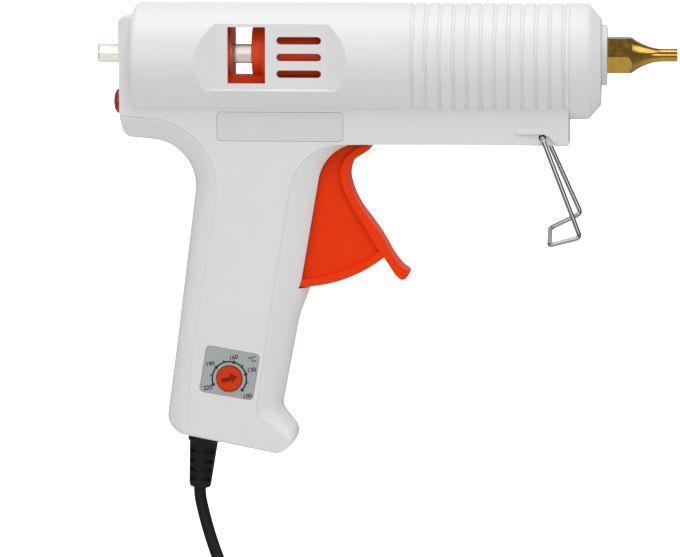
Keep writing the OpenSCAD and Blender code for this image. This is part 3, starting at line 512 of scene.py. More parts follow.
def matched_loops(edge_ctrl, face_ctrl):
    """Two outlines with the same number of points, corner by corner and on the straights."""
    edge, face = corners_of(edge_ctrl), corners_of(face_ctrl)
    m, out = len(edge), ([], [])
    for i in range(m):
        j = (i + 1) % m
        extra = int((edge[j][0] - edge[i][-1]).length / STRAIGHT_STEP)
        for loop, ring in zip(out, (edge, face)):
            loop.extend(ring[i])
            loop.extend(ring[i][-1].lerp(ring[j][0], k / (extra + 1)) for k in range(1, extra + 1))
    return out


def inset(ctrl, w):
    m, out = len(ctrl), []
    for i in range(m):
        p, a, b = Vector(ctrl[i][:2]), Vector(ctrl[i - 1][:2]), Vector(ctrl[(i + 1) % m][:2])
        d1, d2 = (p - a).normalized(), (b - p).normalized()
        n1, n2 = Vector((-d1.y, d1.x)), Vector((-d2.y, d2.x))
        q = p + w * (n1 + n2) / (1 + n1.dot(n2))
        left = d1.x * d2.y - d1.y * d2.x > 0
        r = max(0.4, ctrl[i][2] - w) if left else ctrl[i][2] + w
        out.append((q.x, q.y, r, ctrl[i][3]))
    return out


def half_body(edge_ctrl, face_ctrl, half, steps, past_seam, crease=0.0):
    """Half body on the -Y side, run on a little past the seam.

    Where the flank is narrow it turns into a small rounded edge. With a crease the panel stands a little
    above the flank, as it does along the handle.
    """
    edge, face = matched_loops(edge_ctrl, face_ctrl)
    s0, c0 = math.sin(FLANK_END), math.cos(FLANK_END)
    levels = [math.radians(90) - (math.radians(90) - FLANK_END) * j / steps for j in range(steps + 1)]
    rings = [[(e.x, past_seam, e.y) for e in edge]]
    for f in levels:
        ring = []
        for e, q in zip(edge, face):
            bluntness = 0.35 + 0.65 * min(1.0, max(0.0, ((e - q).length - 1.0) / 5.0))
            k = max(0.0, (math.sin(f) - s0) / (1 - s0)) ** bluntness
            p = q.lerp(e, k)
            drop = crease * (bluntness - 0.3) if f == levels[-1] else 0.0
            ring.append((p.x, drop - half * max(0.0, math.cos(f) / c0) ** bluntness, p.y))
        rings.append(ring)
    if crease:
        lip = [q + (q - e).normalized() * CREASE_W for e, q in zip(edge, face)]
        rings.append([(p.x, -half, p.y) for p in lip])
    return lofted(rings)


# Barrel: a round rear end, and grooves whose walls are given as depth and distance from the middle.
REAR_ROUND, FRONT_RIM = 2.5, 0.3
GROOVE_X, GROOVE_PITCH, GROOVE_COUNT = 63.2, 5.1, 12
GROOVE_WALL = [(0, 0.85), (0.1, 0.7), (0.65, 0.45), (0.75, 0.3)]
# Facet counts that share few angles, so that edges of barrel, bore and rings don't meet by chance.
BARREL_FACETS, BORE_FACETS, RING_FACETS = 128, 90, 88


def barrel_profile():
    back, r, e = BARREL_BACK, BARREL_R, REAR_ROUND
    angles = [math.radians(a) for a in range(0, 91, 10)]
    pts = [(0, back)] + [(r - e + e * math.sin(a), back + e - e * math.cos(a)) for a in angles]
    for i in range(GROOVE_COUNT):
        x = GROOVE_X + i * GROOVE_PITCH
        pts += [(r - deep, x - half) for deep, half in GROOVE_WALL]
        pts += [(r - deep, x + half) for deep, half in reversed(GROOVE_WALL)]
    return pts + [(r, BARREL_FRONT - FRONT_RIM), (r - FRONT_RIM, BARREL_FRONT), (0, BARREL_FRONT)]


# Recess on the flank, with a window and three slots in its back.
RECESS_BACK, RECESS_MOUTH = (-10.2, 31.9), (-23.9, 45.6)
RECESS_DEPTH, RECESS_HEIGHT = 10.0, 40.0
WINDOW_X, WINDOW_Z = (-5.6, 8.5), (77.6, 98.6)
SLOT_X, SLOT_H, SLOTS_Z = (12.7, 29.4), 2.8, (93.6, 87.4, 81.2)


def recess_cutter(y, grow, z, fall=0.0):
    """Room of the recess: flat back, slanted ends, and a floor that may fall away towards the outside."""
    plan = [(RECESS_BACK[0] - grow, -y), (RECESS_BACK[1] + grow, -y),
            (RECESS_MOUTH[1] + grow, -y - RECESS_DEPTH), (RECESS_MOUTH[0] - grow, -y - RECESS_DEPTH)]
    floor = [z, z, z - fall, z - fall]
    return lofted([[(*p, h) for p, h in zip(plan, floor)], [(*p, z + RECESS_HEIGHT) for p in plan]])


def barrel_room():
    """Bore of the barrel, less the recess and its wall."""
    bore = tube_x(BARREL_BACK + WALL, BARREL_FRONT + 1, BORE_R, BARREL_Z, BORE_FACETS)
    return cut(bore, recess_cutter(RECESS_IN, 0.9, 73.55))


def shell_rooms():
    """Rooms inside a half, the way from slab to barrel, and the recess with its openings."""
    back, front = REAR_X + 3.1, BARREL_FRONT - 4
    between = (-INNER_HALF + 0.2, 2)
    through = (-30, -RECESS_IN + 0.3)
    rooms = [half_body(inset(OUTLINE, WALL), inset(PANEL, WALL * 0.55), INNER_HALF, 6, 3.0),
             barrel_room(), recess_cutter(RECESS_Y, 0, 75.6, 2.6),
             block((back, front), between, (BARREL_Z - BARREL_R - 1, 72)),
             block((back, BARREL_BACK + WALL + 1), between, (71, 98)),
             block(WINDOW_X, through, WINDOW_Z)]
    return rooms + [prism(stadium(*SLOT_X, z, SLOT_H), *through) for z in SLOTS_Z]


# Fittings inside a half: they sink into the wall. Rings are given as ends, hole radius and hole height.
SINK = 0.5
RIGHT_BOSS_R, LEFT_BOSS_R, PIVOT_BOSS_R = 3.0, 3.6, 5.0
SCREW_R, SCREW_TIP, HEAD_ROOM_R = 1.4, -8.5, 3.0
RAILS = [((-11, 43), (71.8, 74.3)), ((10, 43), (77.7, 79.6))]
RINGS = [(50, 52, 7.2, STICK_Z), (61, 64, 15.5, BARREL_Z), (112, 115, 15.5, BARREL_Z)]


def half_fittings(right):
    side, inner = -INNER_HALF - SINK, -RECESS_IN - SINK
    parts = [tube_y(x, z, RIGHT_BOSS_R if right else LEFT_BOSS_R, side, 0.6, 32) for x, z in SCREWS]
    parts.append(tube_x(REAR_X + 1, -32, 6, STICK_Z))
    parts += [block(x, (inner, -8), z) for x, z in RAILS]
    parts.append(tube_y(*PIVOT, PIVOT_BOSS_R, side, -7, 32))
    parts.append(block((-33.2, -31.4), (side, -4), (62.8, 71.5)))
    for x0, x1, hole, hole_z in RINGS:
        ring = tube_x(x0, x1, BORE_R + 0.4, BARREL_Z, RING_FACETS)
        holes = [tube_x(x0 - 1, x1 + 1, hole, hole_z)]
        if x0 < 100:
            holes.append(block((x0 - 1, x1 + 1), (-9, 9), (60, 71)))
        parts.append(cut(ring, *holes))
    if right:
        parts.append(block((-23.5, -7.5), (side, -0.4), (-48.5, -43.5)))
        parts += [tube_y(x, z, 2, side, -5.5, 24) for x in (-13, 2.5) for z in (-9.5, -38.5)]
    return parts


def hood():
    """Raised bar over the stand pivot, whose front end bends down round the pivot."""
    line = [(102.9, 60.1), (108.0, 60.1), (111.3, 60.1), (113.2, 59.75), (114.7, 58.9), (115.7, 57.85),
            (116.2, 57.1)]
    half = 1.25
    left, right = [], []
    for i, (x, z) in enumerate(line):
        a, b = line[max(i - 1, 0)], line[min(i + 1, len(line) - 1)]
        way = Vector((b[0] - a[0], b[1] - a[1])).normalized()
        left.append((x - way.y * half, z + way.x * half))
        right.append((x + way.y * half, z - way.x * half))
    last = math.degrees(math.atan2(line[-1][1] - line[-2][1], line[-1][0] - line[-2][0]))
    front, back = arc(line[-1], half, last - 80, last + 80, 8), arc(line[0], half, 100, 260, 8)
    return rounded_prism(right + front + left[::-1] + back, -SLAB_HALF - 0.9, -SLAB_HALF + 0.6, 0.45)


# Holes, each a little wider than what sits in it or passes through it.
SLOT_HALF = 8.4
TRIGGER_ROOM = [(3, -3), (75, -3), (75, 54.2), (46, 54.2), (41, 57.5), (9, 57.5)]
LABEL_DEPTH, PLATE_DEPTH, CORNER_R = 0.3, 0.4, 1.6


def trigger_slot():
    swept = tube_y(*PIVOT, SWEEP_R + 0.5, -SLOT_HALF - 1, SLOT_HALF + 1, 128)
    return combine(prism(TRIGGER_ROOM, -SLOT_HALF, SLOT_HALF), "INTERSECT", [swept])


def shell_holes(right):
    """Holes through walls and fittings. The block among them trims the half at the seam."""
    face = -SLAB_HALF
    holes = [trigger_slot(), tube_x(REAR_X - 4, -43, BUTTON_R + 0.25, BUTTON_Z),
             tube_x(REAR_X - 2, -30, STICK_R + 0.35, STICK_Z),
             tube_y(*STAND_AT, WIRE_R + 0.45, face - 3, -6, 32),
             rod(4, -12, 8, RELIEF_PLACE), rod(5.3, -0.9, 11, RELIEF_PLACE),
             tube_y(*PIVOT, 2, -INNER_HALF, 1, 32), block((-80, 160), (0, 40), (-90, 130))]
    holes += [tube_y(x, z, SCREW_R, SCREW_TIP, 1, 24) for x, z in SCREWS]
    if not right:
        return holes + [tube_y(x, z, HEAD_ROOM_R, -20, -8, 32) for x, z in SCREWS]
    label = rounded_rect(LABEL_AT, LABEL_W, LABEL_H, CORNER_R)
    plate = rounded_rect(PLATE_AT, PLATE_W, PLATE_H, CORNER_R, -PLATE_TILT)
    return holes + [prism(label, face - 1, face + LABEL_DEPTH), prism(plate, face - 1, face + PLATE_DEPTH),
                    tube_y(*DIAL_AT, 4.95, face - 2, -6)]


def half_shell(right):
    shell = half_body(OUTLINE, PANEL, SLAB_HALF, 14, 1.0, crease=0.4)
    join(shell, revolve(barrel_profile(), along_x(BARREL_Z), BARREL_FACETS))
    cut(shell, *shell_rooms())
    join(shell, *half_fittings(right), hood())
    cut(shell, *shell_holes(right))
    if not right:
        shell.data.transform(Matrix.Scale(-1, 4, (0, 1, 0)))
        shell.data.flip_normals()
    return shell


piece(half_shell(True), "housing_right", "housing", WHITE, ["right_housing_shell"], sharp=15)
piece(half_shell(False), "housing_left", "housing", WHITE, ["left_housing_shell"], sharp=15)


# Nose cap, collar and nozzle.
COLLAR_T = 2.2
HEX_ACROSS, HEX_TURN, NOZZLE_END = 13.0, 3, 161.4


def nose():
    r, front, end = BARREL_R, BARREL_FRONT, CAP_END
    skin = [(r - 0.25, front), (r, front + 0.25), (r, end - 5.9), (r - 0.12, end - 5.2),
            (r - 0.45, end - 4.5), (r - 1.0, end - 3.8), (r - 4.5, end - 0.75), (r - 4.9, end - 0.3),
            (r - 5.6, end), (0, end)]
    lining = [(0, end - 3), (BORE_R - 2.4, end - 3), (BORE_R - 2, end - 5), (BORE_R - 2, front - 3.6),
              (BORE_R - 0.1, front - 3.6), (BORE_R - 0.1, front)]
    cap = revolve(skin + lining, along_x(BARREL_Z), BARREL_FACETS)
    return cut(cap, tube_x(end - 6, end + 2, 9, STICK_Z, 64))


def collar():
    x = CAP_END
    return revolve([(5, x - 3), (8.9, x - 3), (8.9, x), (11.2, x), (11.4, x + 0.2), (11.4, x + 1.7),
                    (11.25, x + 2.05), (10.9, x + COLLAR_T), (5, x + COLLAR_T)], along_x(STICK_Z), 96)


def brass_nozzle():
    """Hexagon turned down in a curve to a slim tip, with a bore for the glue."""
    start, end = CAP_END + COLLAR_T, NOZZLE_END
    r = HEX_ACROSS / math.sqrt(3)
    angles = [math.radians(HEX_TURN + 60 * k) for k in range(6)]
    body = lofted([[(x, r * math.cos(a), STICK_Z + r * math.sin(a)) for a in angles] for x in (start, 152)])
    turned_down = [(0, start), (7.1, start), (7.6, start + 0.6), (7.6, 142.9), (7.3, 143.5), (6.7, 144.3),
                   (5.9, 145.4), (5.15, 146.6), (4.5, 147.8), (3.95, 149.0), (3.5, 150.2), (3.2, 151.0),
                   (0, 151.0)]
    combine(body, "INTERSECT", [revolve(turned_down, along_x(STICK_Z), 96)])
    tip = [(0, 150.0), (3.57, 150.0), (3.5, 150.2), (3.2, 151.0), (2.9, 152.0), (2.66, 153.0), (2.5, 154.2),
           (2.42, 155.6), (2.4, 157.0), (2.4, end - 0.35), (2.3, end - 0.1), (2.1, end), (0, end)]
    join(body, revolve(tip, along_x(STICK_Z), 96))
    return cut(body, tube_x(start - 1, 142, 4.6, STICK_Z), tube_x(141, end + 1, 1.0, STICK_Z, 32))


piece(nose(), "nose", "housing", NOSE_WHITE, ["nose_cap"])
piece(collar(), "collar", "housing", COLLAR, ["nozzle_collar"])
piece(brass_nozzle(), "brass_nozzle", "housing", BRASS, ["nozzle"], sharp=24)


# Trigger: a web with a wider finger pad in front and a curved band below.
PAD_HALF, WEB_HALF, ARM_HALF, ARM_R = 8.0, 6.0, 4.0, 3.2
BAND_T, BAND_START = 3.0, -91
PAD = [(46.8, 54.2), (47.3, 52.8), (45, 51.3), (41.7, 49.4), (39.9, 47.4), (39, 43.7), (39.4, 40.5),
       (40.9, 36), (43.3, 31.3), (47.8, 25.6), (52, 19.6), (55.5, 12.9), (59.2, 8.3), (61.6, 7), (61.6, 5.2),
       (59.6, 3.4), (57.2, 4.4), (52.4, 11.9), (49.8, 15.4), (46.6, 20.6), (41.7, 28.7), (38.1, 34.9),
       (35.9, 40.1), (35.4, 43.7), (36.4, 47.8), (39.3, 51.4), (43.5, 54.2)]
WEB_BACK = [(19.3, 5), (15.6, 20), (15, 40), (14.5, 54), (24, 57), (36, 56.4), (45.6, 54.1), (45, 53),
            (38.6, 48.8), (37.2, 43.7), (38.2, 39.6), (40.2, 34.6), (44, 28.6), (48.8, 20.8), (51.6, 16),
            (53, 13.6)]


def sweep_angle(p):
    return math.degrees(math.atan2(p[1] - PIVOT[1], p[0] - PIVOT[0]))


def trigger_body():
    band_end = sweep_angle((52.9, 12.6))
    band = arc(PIVOT, SWEEP_R, BAND_START, band_end, 40)
    band += arc(PIVOT, SWEEP_R - BAND_T, band_end, BAND_START, 40)
    lower = arc(PIVOT, SWEEP_R - BAND_T / 2, band_end, sweep_angle((19.3, 1)), 24)
    arm = [(PIVOT[0] - 4.5, PIVOT[1]), (PIVOT[0] + 4.5, PIVOT[1]), (DRIVE[0] + ARM_R, DRIVE[1]),
           (DRIVE[0] - ARM_R, DRIVE[1])]
    body = rounded_prism(relaxed(PAD), -PAD_HALF, PAD_HALF, 0.7)
    join(body, rounded_prism(WEB_BACK + lower, -WEB_HALF, WEB_HALF, 0.2, 2),
         rounded_prism(band, -PAD_HALF, PAD_HALF, 0.5), tube_y(*PIVOT, 6, -6.7, 6.7),
         prism(arm, -ARM_HALF, ARM_HALF), tube_y(*DRIVE, ARM_R, -ARM_HALF, ARM_HALF))
    dent = [(0, 5.7), (0.55, 5.72), (0.85, 5.9), (0.95, 6.1), (0.95, 8), (0, 8)]
    dents = [revolve([(r, s * h) for r, h in dent], along_y(44.6, 16.3), 24) for s in (-1, 1)]
    return cut(body, tube_y(*PIVOT, 2.05, -20, 20), tube_y(*DRIVE, 1.5, -20, 20), *dents)


piece(trigger_body(), "trigger_lever_body", "trigger_lever", ORANGE, ["trigger"], sharp=28)


# Controls: knob with arrow, plates, printed scale, push button.
KNOB_R, KNOB_FACE, ARROW_DEPTH, ARROW_TURN = 4.7, -SLAB_HALF - 0.9, 0.5, 17
ARROW = [(-3, -0.8), (0.7, -0.8), (0.7, -1.9), (3.2, 0), (0.7, 1.9), (0.7, 0.8), (-3, 0.8)]
PLATE_GAP = 0.2


def knob():
    r, face, under = KNOB_R, KNOB_FACE, -SLAB_HALF + 2
    body = revolve([(0, face), (r - 0.5, face), (r - 0.15, face + 0.12), (r, face + 0.5), (r, under),
                    (2.4, under), (2.4, -9.3), (0, -9.3)], along_y(*DIAL_AT), 72)
    return cut(body, prism(turned(ARROW, DIAL_AT, ARROW_TURN), face - 1, face + ARROW_DEPTH))


def scale_plate():
    outline = rounded_rect(PLATE_AT, PLATE_W - PLATE_GAP, PLATE_H - PLATE_GAP, 1.5, -PLATE_TILT)
    plate = rounded_prism(outline, -SLAB_HALF - 0.1, -SLAB_HALF + PLATE_DEPTH, 0.12, 2)
    return cut(plate, tube_y(*DIAL_AT, 5.1, -SLAB_HALF - 2, -6, 64))


def label_plate():
    """Blank plate with a thin rim."""
    outline = rounded_rect(LABEL_AT, LABEL_W - PLATE_GAP, LABEL_H - PLATE_GAP, 1.5)
    plate = rounded_prism(outline, -SLAB_HALF - 0.12, -SLAB_HALF + LABEL_DEPTH, 0.1, 2)
    inside = rounded_rect(LABEL_AT, LABEL_W - 2.0, LABEL_H - 2.0, 0.8)
    return cut(plate, prism(inside, -SLAB_HALF - 1, -SLAB_HALF - 0.04))


knob_piece = piece(knob(), "temperature_knob", "dial", KNOB_ORANGE, ["temperature_dial"], sharp=28)
# The floor of the sunken arrow gets the painted shade, a darker red than the knob.
knob_piece.data.materials.append(ARROW_PAINTED_SHADE)
for face in knob_piece.data.polygons:
    if abs(face.center.y / MM - KNOB_FACE - ARROW_DEPTH) < 0.05 and face.normal.y < -0.9:
        face.material_index = 1
piece(scale_plate(), "scale_plate", "housing", PLATE, ["dial_plate"])
piece(label_plate(), "label_plate", "housing", LABEL, ["rating_label"])


def text_mesh(words, size, x, z, tilt, y):
    data = bpy.data.curves.new("scratch_text", "FONT")
    data.body = words
    data.size = size * MM
    data.extrude = 0.015 * MM
    data.offset = 0.05 * MM
    data.align_x, data.align_y = "CENTER", "CENTER"
    obj = linked("scratch_text", data)
    mesh = evaluated_mesh(obj)
    mesh.transform(Matrix.Translation(Vector((x, y, z)) * MM) @ Matrix.Rotation(math.radians(-tilt), 4, "Y")
                   @ Matrix.Rotation(math.radians(90), 4, "X"))
    bpy.data.objects.remove(obj)
    return mesh


# Printed scale: an arc with dots and ticks, and the figures round it.
SCALE_R, SCALE_HALF, DOT_R, TICK_HALF, TICK_LENGTH = 6.45, 0.3, 0.65, 0.24, 1.0
DOTS = [-41, 15, 74.5, 139, 200]
FIGURES = [("220", 2.3, -13.6, -37.0), ("190", 2.3, -12.7, -28.0), ("160", 2.3, -3.9, -25.5),
           ("130", 2.3, 2.9, -30.2), ("100", 2.3, 1.3, -40.1), ("°C", 2.6, 3.2, -26.2)]


def dial_print():
    y0, y1 = -SLAB_HALF - 0.12, -SLAB_HALF - 0.08
    ring = arc(DIAL_AT, SCALE_R + SCALE_HALF, DOTS[0], DOTS[-1], 60)
    ring += arc(DIAL_AT, SCALE_R - SCALE_HALF, DOTS[-1], DOTS[0], 60)
    marks = [prism(ring, y0, y1)]
    for a in DOTS:
        middle = turned([(SCALE_R, 0)], DIAL_AT, a)[0]
        marks.append(prism(arc(middle, DOT_R, 0, 345, 23), y0 - 0.005, y1))
    for a, b in zip(DOTS, DOTS[1:]):
        tick = [(SCALE_R, TICK_HALF), (SCALE_R + TICK_LENGTH, TICK_HALF),
                (SCALE_R + TICK_LENGTH, -TICK_HALF), (SCALE_R, -TICK_HALF)]
        marks.append(prism(turned(tick, DIAL_AT, (a + b) / 2), y0 - 0.01, y1))
    net = bmesh.new()
    for obj in marks:
        net.from_mesh(obj.data)
        bpy.data.objects.remove(obj)
    for words, size, x, z in FIGURES:
        net.from_mesh(text_mesh(words, size, x, z, PLATE_TILT, y0))
    out = bpy.data.meshes.new("dial_scale")
    net.to_mesh(out)
    net.free()
    return linked("dial_scale", out)


piece(dial_print(), "dial_scale", "housing", PRINT, weighted=False)


def button():
    r, crown = BUTTON_R, 2.1
    angles = [math.radians(a) for a in range(0, 90, 9)]
    dome = [(r * math.sin(a), REAR_X - crown * math.cos(a) ** 0.8) for a in angles]
    return revolve(dome + [(r, REAR_X), (r, -45.3), (r + 0.9, -45.3), (r + 0.9, -44.5), (2.4, -44.5),
                           (2.4, -41.0), (0, -41.0)], along_x(BUTTON_Z), 64)


def glue_stick():
    r, back, front = STICK_R, -56, 50
    return revolve([(0, back), (r - 0.5, back), (r - 0.12, back + 0.15), (r, back + 0.6), (r, front - 0.6),
                    (r - 0.5, front), (0, front)], along_x(STICK_Z), 64)


piece(button(), "button_cap", "button", RED, ["power_button"])
piece(glue_stick(), "stick", "stick", STICK, ["glue_stick"])


# Carriage that carries the stick forward: two discs, a sleeve, and the foot that the trigger drives.
DISC_R, DISC_Z, SLEEVE_R = 10.5, 89.3, 12.6


def disc(x0, x1, r, edge, z):
    """Disc with its two rims rounded."""
    e = edge * 0.3
    return revolve([(0, x0), (r - edge, x0), (r - e, x0 + e), (r, x0 + edge), (r, x1 - edge),
                    (r - e, x1 - e), (r - edge, x1), (0, x1)], along_x(z), 96)


def carriage():
    x, z = DRIVE
    body = disc(2.7, 7.6, DISC_R, 0.8, DISC_Z)
    lugs = [block((x - 5, x + 5), sorted((s * 4.6, s * 7.4)), (67.6, 75)) for s in (-1, 1)]
    flats = [block((6, 33), sorted((s * 7.5, s * 14)), (74, 80.4)) for s in (-1, 1)]
    join(body, disc(-6.75, -5.0, DISC_R, 0.4, DISC_Z), cut(disc(7, 32, SLEEVE_R, 0.4, STICK_Z), *flats),
         block((-6.75, 32), (-9, 9), (74.6, 77.4)), block((-6.7, 31.9), (-5, 5), (77, 80.2)),
         tube_y(23.5, 80.2, 2.2, -6.4, 6.4), *lugs)
    return cut(body, tube_x(-8, 33, STICK_R + 0.3, STICK_Z), block((9.5, 27), (-2.8, 2.8), (77.4, 85)),
               block((x - 1.6, x + 1.6), (-9.5, 9.5), (z - 2, z + 2.4)),
               block((x - 4.8, x + 4.8), (-4.6, 4.6), (74, z + 4.2)))


# The carriage gets the orange with painted light, brighter than the same moulded orange elsewhere.
piece(carriage(), "carriage_body", "carriage", CARRIAGE_ORANGE_PAINTED_LIGHT, ["feed_carriage"], sharp=28)


# Screws with a cross recess in the head, from the far side.
CROSS_LONG, CROSS_THIN, CROSS_Y = 1.5, 0.3, (8.9, 11)


def screws():
    profile = [(0, SCREW_TIP), (SCREW_R, SCREW_TIP), (SCREW_R, 8), (2.7, 8), (2.7, 9.2), (2.4, 9.7),
               (1.6, 9.95), (0, 10)]
    heads = []
    for x, z in SCREWS:
        cross = [block((x - w, x + w), CROSS_Y, (z - h, z + h))
                 for w, h in ((CROSS_LONG, CROSS_THIN), (CROSS_THIN, CROSS_LONG))]
        heads.append(cut(revolve(profile, along_y(x, z), 36), *cross))
    return join(*heads)


piece(screws(), "case_screws", "housing", STEEL, ["housing_screws"])


# Strain relief in the handle's foot. Its slots lie in rows and are broken by spines.
SLOT_ROWS, SLOT_DEPTH, SLOT_WIDTH, SPINE_HALF = (5.4, 9.0, 12.6, 16.0), 0.7, 1.4, 0.7


def relief():
    bore = CORD_R + 0.02
    body = revolve([(bore, -5.4), (6, -5.4), (6, -3.6), (4, -3.6), (4, -0.9), (5.2, -0.9), (5.2, 0.6),
                    (5.9, 0.9), (6.0, 1.3), (6.0, 2.0), (5.8, 2.4), (5.4, 2.7), (5.3, 3.4), (4.2, 18.4),
                    (4.05, 19.4), (3.7, 20.0), (3.1, 20.2), (bore, 20.2)], RELIEF_PLACE, 64)
    place = Matrix.Translation(RELIEF_P * MM) @ RELIEF_PLACE.to_3x3().to_4x4()
    slots = []
    for h in SLOT_ROWS:
        r = 5.3 - 0.073 * (h - 3.4)
        inside, outside, top = r - SLOT_DEPTH, r + 2, h + SLOT_WIDTH
        ring = revolve([(inside, h), (outside, h), (outside, top), (inside, top)], RELIEF_PLACE, 64)
        spans = [(-SPINE_HALF, SPINE_HALF)] + [sorted((s * (r - 0.8), s * 9)) for s in (-1, 1)]
        spines = [block(x, (-9, 9), (h - 1, top + 1)) for x in spans]
        for spine in spines:
            spine.data.transform(place)
        slots.append(cut(ring, *spines))
    return cut(body, *slots)


piece(relief(), "relief", "housing", BLACK, ["strain_relief"])


# Plug at the end of the cord, as sections of height, width, depth and corner radius, and its prongs.
PLUG_PLACE = Matrix.Translation(Vector(PLUG_TOP))
PLUG_SECTIONS = [(0.0, 8.0, 8.0, 3.98), (-5.0, 8.6, 8.4, 4.1), (-8.0, 10.5, 9.2, 4.4),
                 (-12.0, 15.5, 10.4, 4.9), (-17.0, 22.0, 11.6, 5.3), (-22.0, 28.5, 12.8, 5.8),
                 (-27.0, 33.5, 13.6, 6.2), (-30.0, 35.2, 13.8, 6.4), (-33.2, 35.4, 13.8, 6.4),
                 (-33.8, 34.8, 13.2, 6.1), (-34.0, 34.0, 12.4, 5.8)]
PRONG_X, PRONG_ROOT_R, PRONG_R = 9.5, 1.7, 2.0
PRONG_PLACES = [PLUG_PLACE @ Matrix.Translation((s * PRONG_X, 0, 0)) for s in (-1, 1)]


def plug():
    """Flat plug that widens from the cord to its face."""
    rings = []
    for h, w, d, r in PLUG_SECTIONS:
        ring = rounded_rect(PLUG_TOP[:2], w, d, min(r, w / 2 - 0.01, d / 2 - 0.01))
        rings.append([(x, y, PLUG_TOP[2] + h) for x, y in ring])
    holes = [rod(CORD_R, -4, 1, PLUG_PLACE, 32)]
    holes += [rod(PRONG_ROOT_R, -35, -24, place, 24) for place in PRONG_PLACES]
    return cut(lofted(rings), *holes)


def prongs():
    profile = [(0, -24), (PRONG_ROOT_R, -24), (PRONG_ROOT_R, -34), (PRONG_R, -34), (PRONG_R, -51.6),
               (1.75, -52.4), (1.2, -52.9), (0, -53)]
    return join(*[revolve(profile, place, 32) for place in PRONG_PLACES])


piece(plug(), "plug_shell", "housing", PLUG_BLACK, ["plug_body"])
piece(prongs(), "plug_prongs", "housing", STEEL, ["plug_pins"])


# Stand, bent from one wire.
def bent_wire(points, r, n=7):
    """Straight lengths with rounded bends between them."""
    pts = [Vector(p) for p in points]
    out = [pts[0]]
    for a, b, c in zip(pts, pts[1:], pts[2:]):
        start, end = b + (a - b).normalized() * r, b + (c - b).normalized() * r
        out += [start.lerp(b, k / n).lerp(b.lerp(end, k / n), k / n) for k in range(n + 1)]
    return out + [pts[-1]]


STAND_Y = SLAB_HALF + WIRE_R + 0.5
stand_line = bent_wire([(STAND_AT[0], -9.5, STAND_AT[1]), (STAND_AT[0], -STAND_Y, STAND_AT[1]),
                        (125.9, -STAND_Y, 20.8), (114.5, -STAND_Y + 0.6, 17.8), (113.9, STAND_Y - 0.6, 21.7),
                        (125.5, STAND_Y, 27.3), (STAND_AT[0], STAND_Y, STAND_AT[1]),
                        (STAND_AT[0], 9.5, STAND_AT[1])], 1.7)
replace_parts(curve_tube("stand_wire", stand_line, WIRE_R, "stand", CHROME, 6), "wire_stand")


# Springs, wound from round wire.
def helix(r, length, turns, steps):
    """Points round an axis: two places across it and one along it."""
    count = turns * steps
    spots = [(math.radians(360 * i / steps), length * i / count) for i in range(count + 1)]
    return [(r * math.cos(a), r * math.sin(a), h) for a, h in spots]


def spring(name, points, r, body, node):
    obj = curve_tube(name, points, r, body, STEEL, 2, as_mesh=True)
    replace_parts(obj, node)
    return obj


pawl_line = [(14.6 + p, q, 77.7 + h) for p, q, h in helix(1.3, 2.1, 4, 20)]
pawl_coil = spring("pawl_spring_wire", pawl_line, 0.3, "carriage", "pawl_spring")
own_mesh(pawl_coil)
return_line = [(32.5 + h, p, STICK_Z + q) for p, q, h in helix(8.2, 17, 7, 32)]
return_coil = spring("return_spring_wire", return_line, 0.5, "housing", "return_spring")
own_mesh(return_coil)


# Carried-over solids get their materials.
KEPT = [
    (STEEL, ["sleeve_clamp", "chamber_rear_ring", "chamber_front_ring", "heater_clip", "grip_pawl",
             "pawl_pin", "trigger_pin", "drive_pin", "clamp_screws"]),
    (DARK, ["cord_tie", "switch_body", "triac", "control_chip"]),
    (CERAMIC, ["heater_element", "thermal_fuse"]), (SENSOR, ["thermistor", "mains_leads"]),
    (WIRE, ["heater_leads", "sensor_leads"]), (ALUMINIUM, ["melt_chamber"]), (SILICONE, ["inlet_sleeve"]),
    (BLUE, ["potentiometer"]), (BOARD, ["control_board"]), (FILM, ["film_capacitor"]),
    (NOSE_WHITE, ["cord_clamp"]),
]
for material, names in KEPT:
    for name in names:
        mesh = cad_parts[name].data
        mesh.materials.clear()
        mesh.materials.append(material)


# Stage: pale floor below the cord, soft light from above and in front.
FLOOR_Z, FLOOR_HALF = -0.2145, 8
# Metal mirrors a dark room with three bright panels in front and a dim one behind.
# Each panel is the way to it, its brightness, and how closely a ray has to face it.
ROOM_DIM = 0.13
PANELS = [((-0.45, -0.88, 0.15), 1.5, (0.84, 0.96)), ((0.25, -0.965, 0.08), 1.8, (0.95, 0.985)),
          ((0.6, -0.3, 0.74), 1.4, (0.84, 0.96)), ((0.04, 0.92, 0.38), 0.35, (0.84, 0.96))]
# Lamps are name, place, size and watts, and all point at the same spot.
LAMPS = [("key", (0.38, -0.8, 1.15), 0.8, 4.4), ("top", (-0.15, -0.2, 1.3), 1.0, 4.6),
         ("side", (1.5, -0.6, 0.5), 0.6, 1.2), ("rear", (-1.5, -0.35, 0.5), 0.6, 2.2)]
LAMP_TARGET = Vector((0.03, 0, 0.03))


def seen_directly(tree):
    """One for camera and transmission rays, which meet white, and nought for the rest."""
    path = tree.nodes.new("ShaderNodeLightPath")
    either = tree.nodes.new("ShaderNodeMath")
    either.operation = "MAXIMUM"
    tree.links.new(path.outputs["Is Camera Ray"], either.inputs[0])
    tree.links.new(path.outputs["Is Transmission Ray"], either.inputs[1])
    return either.outputs[0]


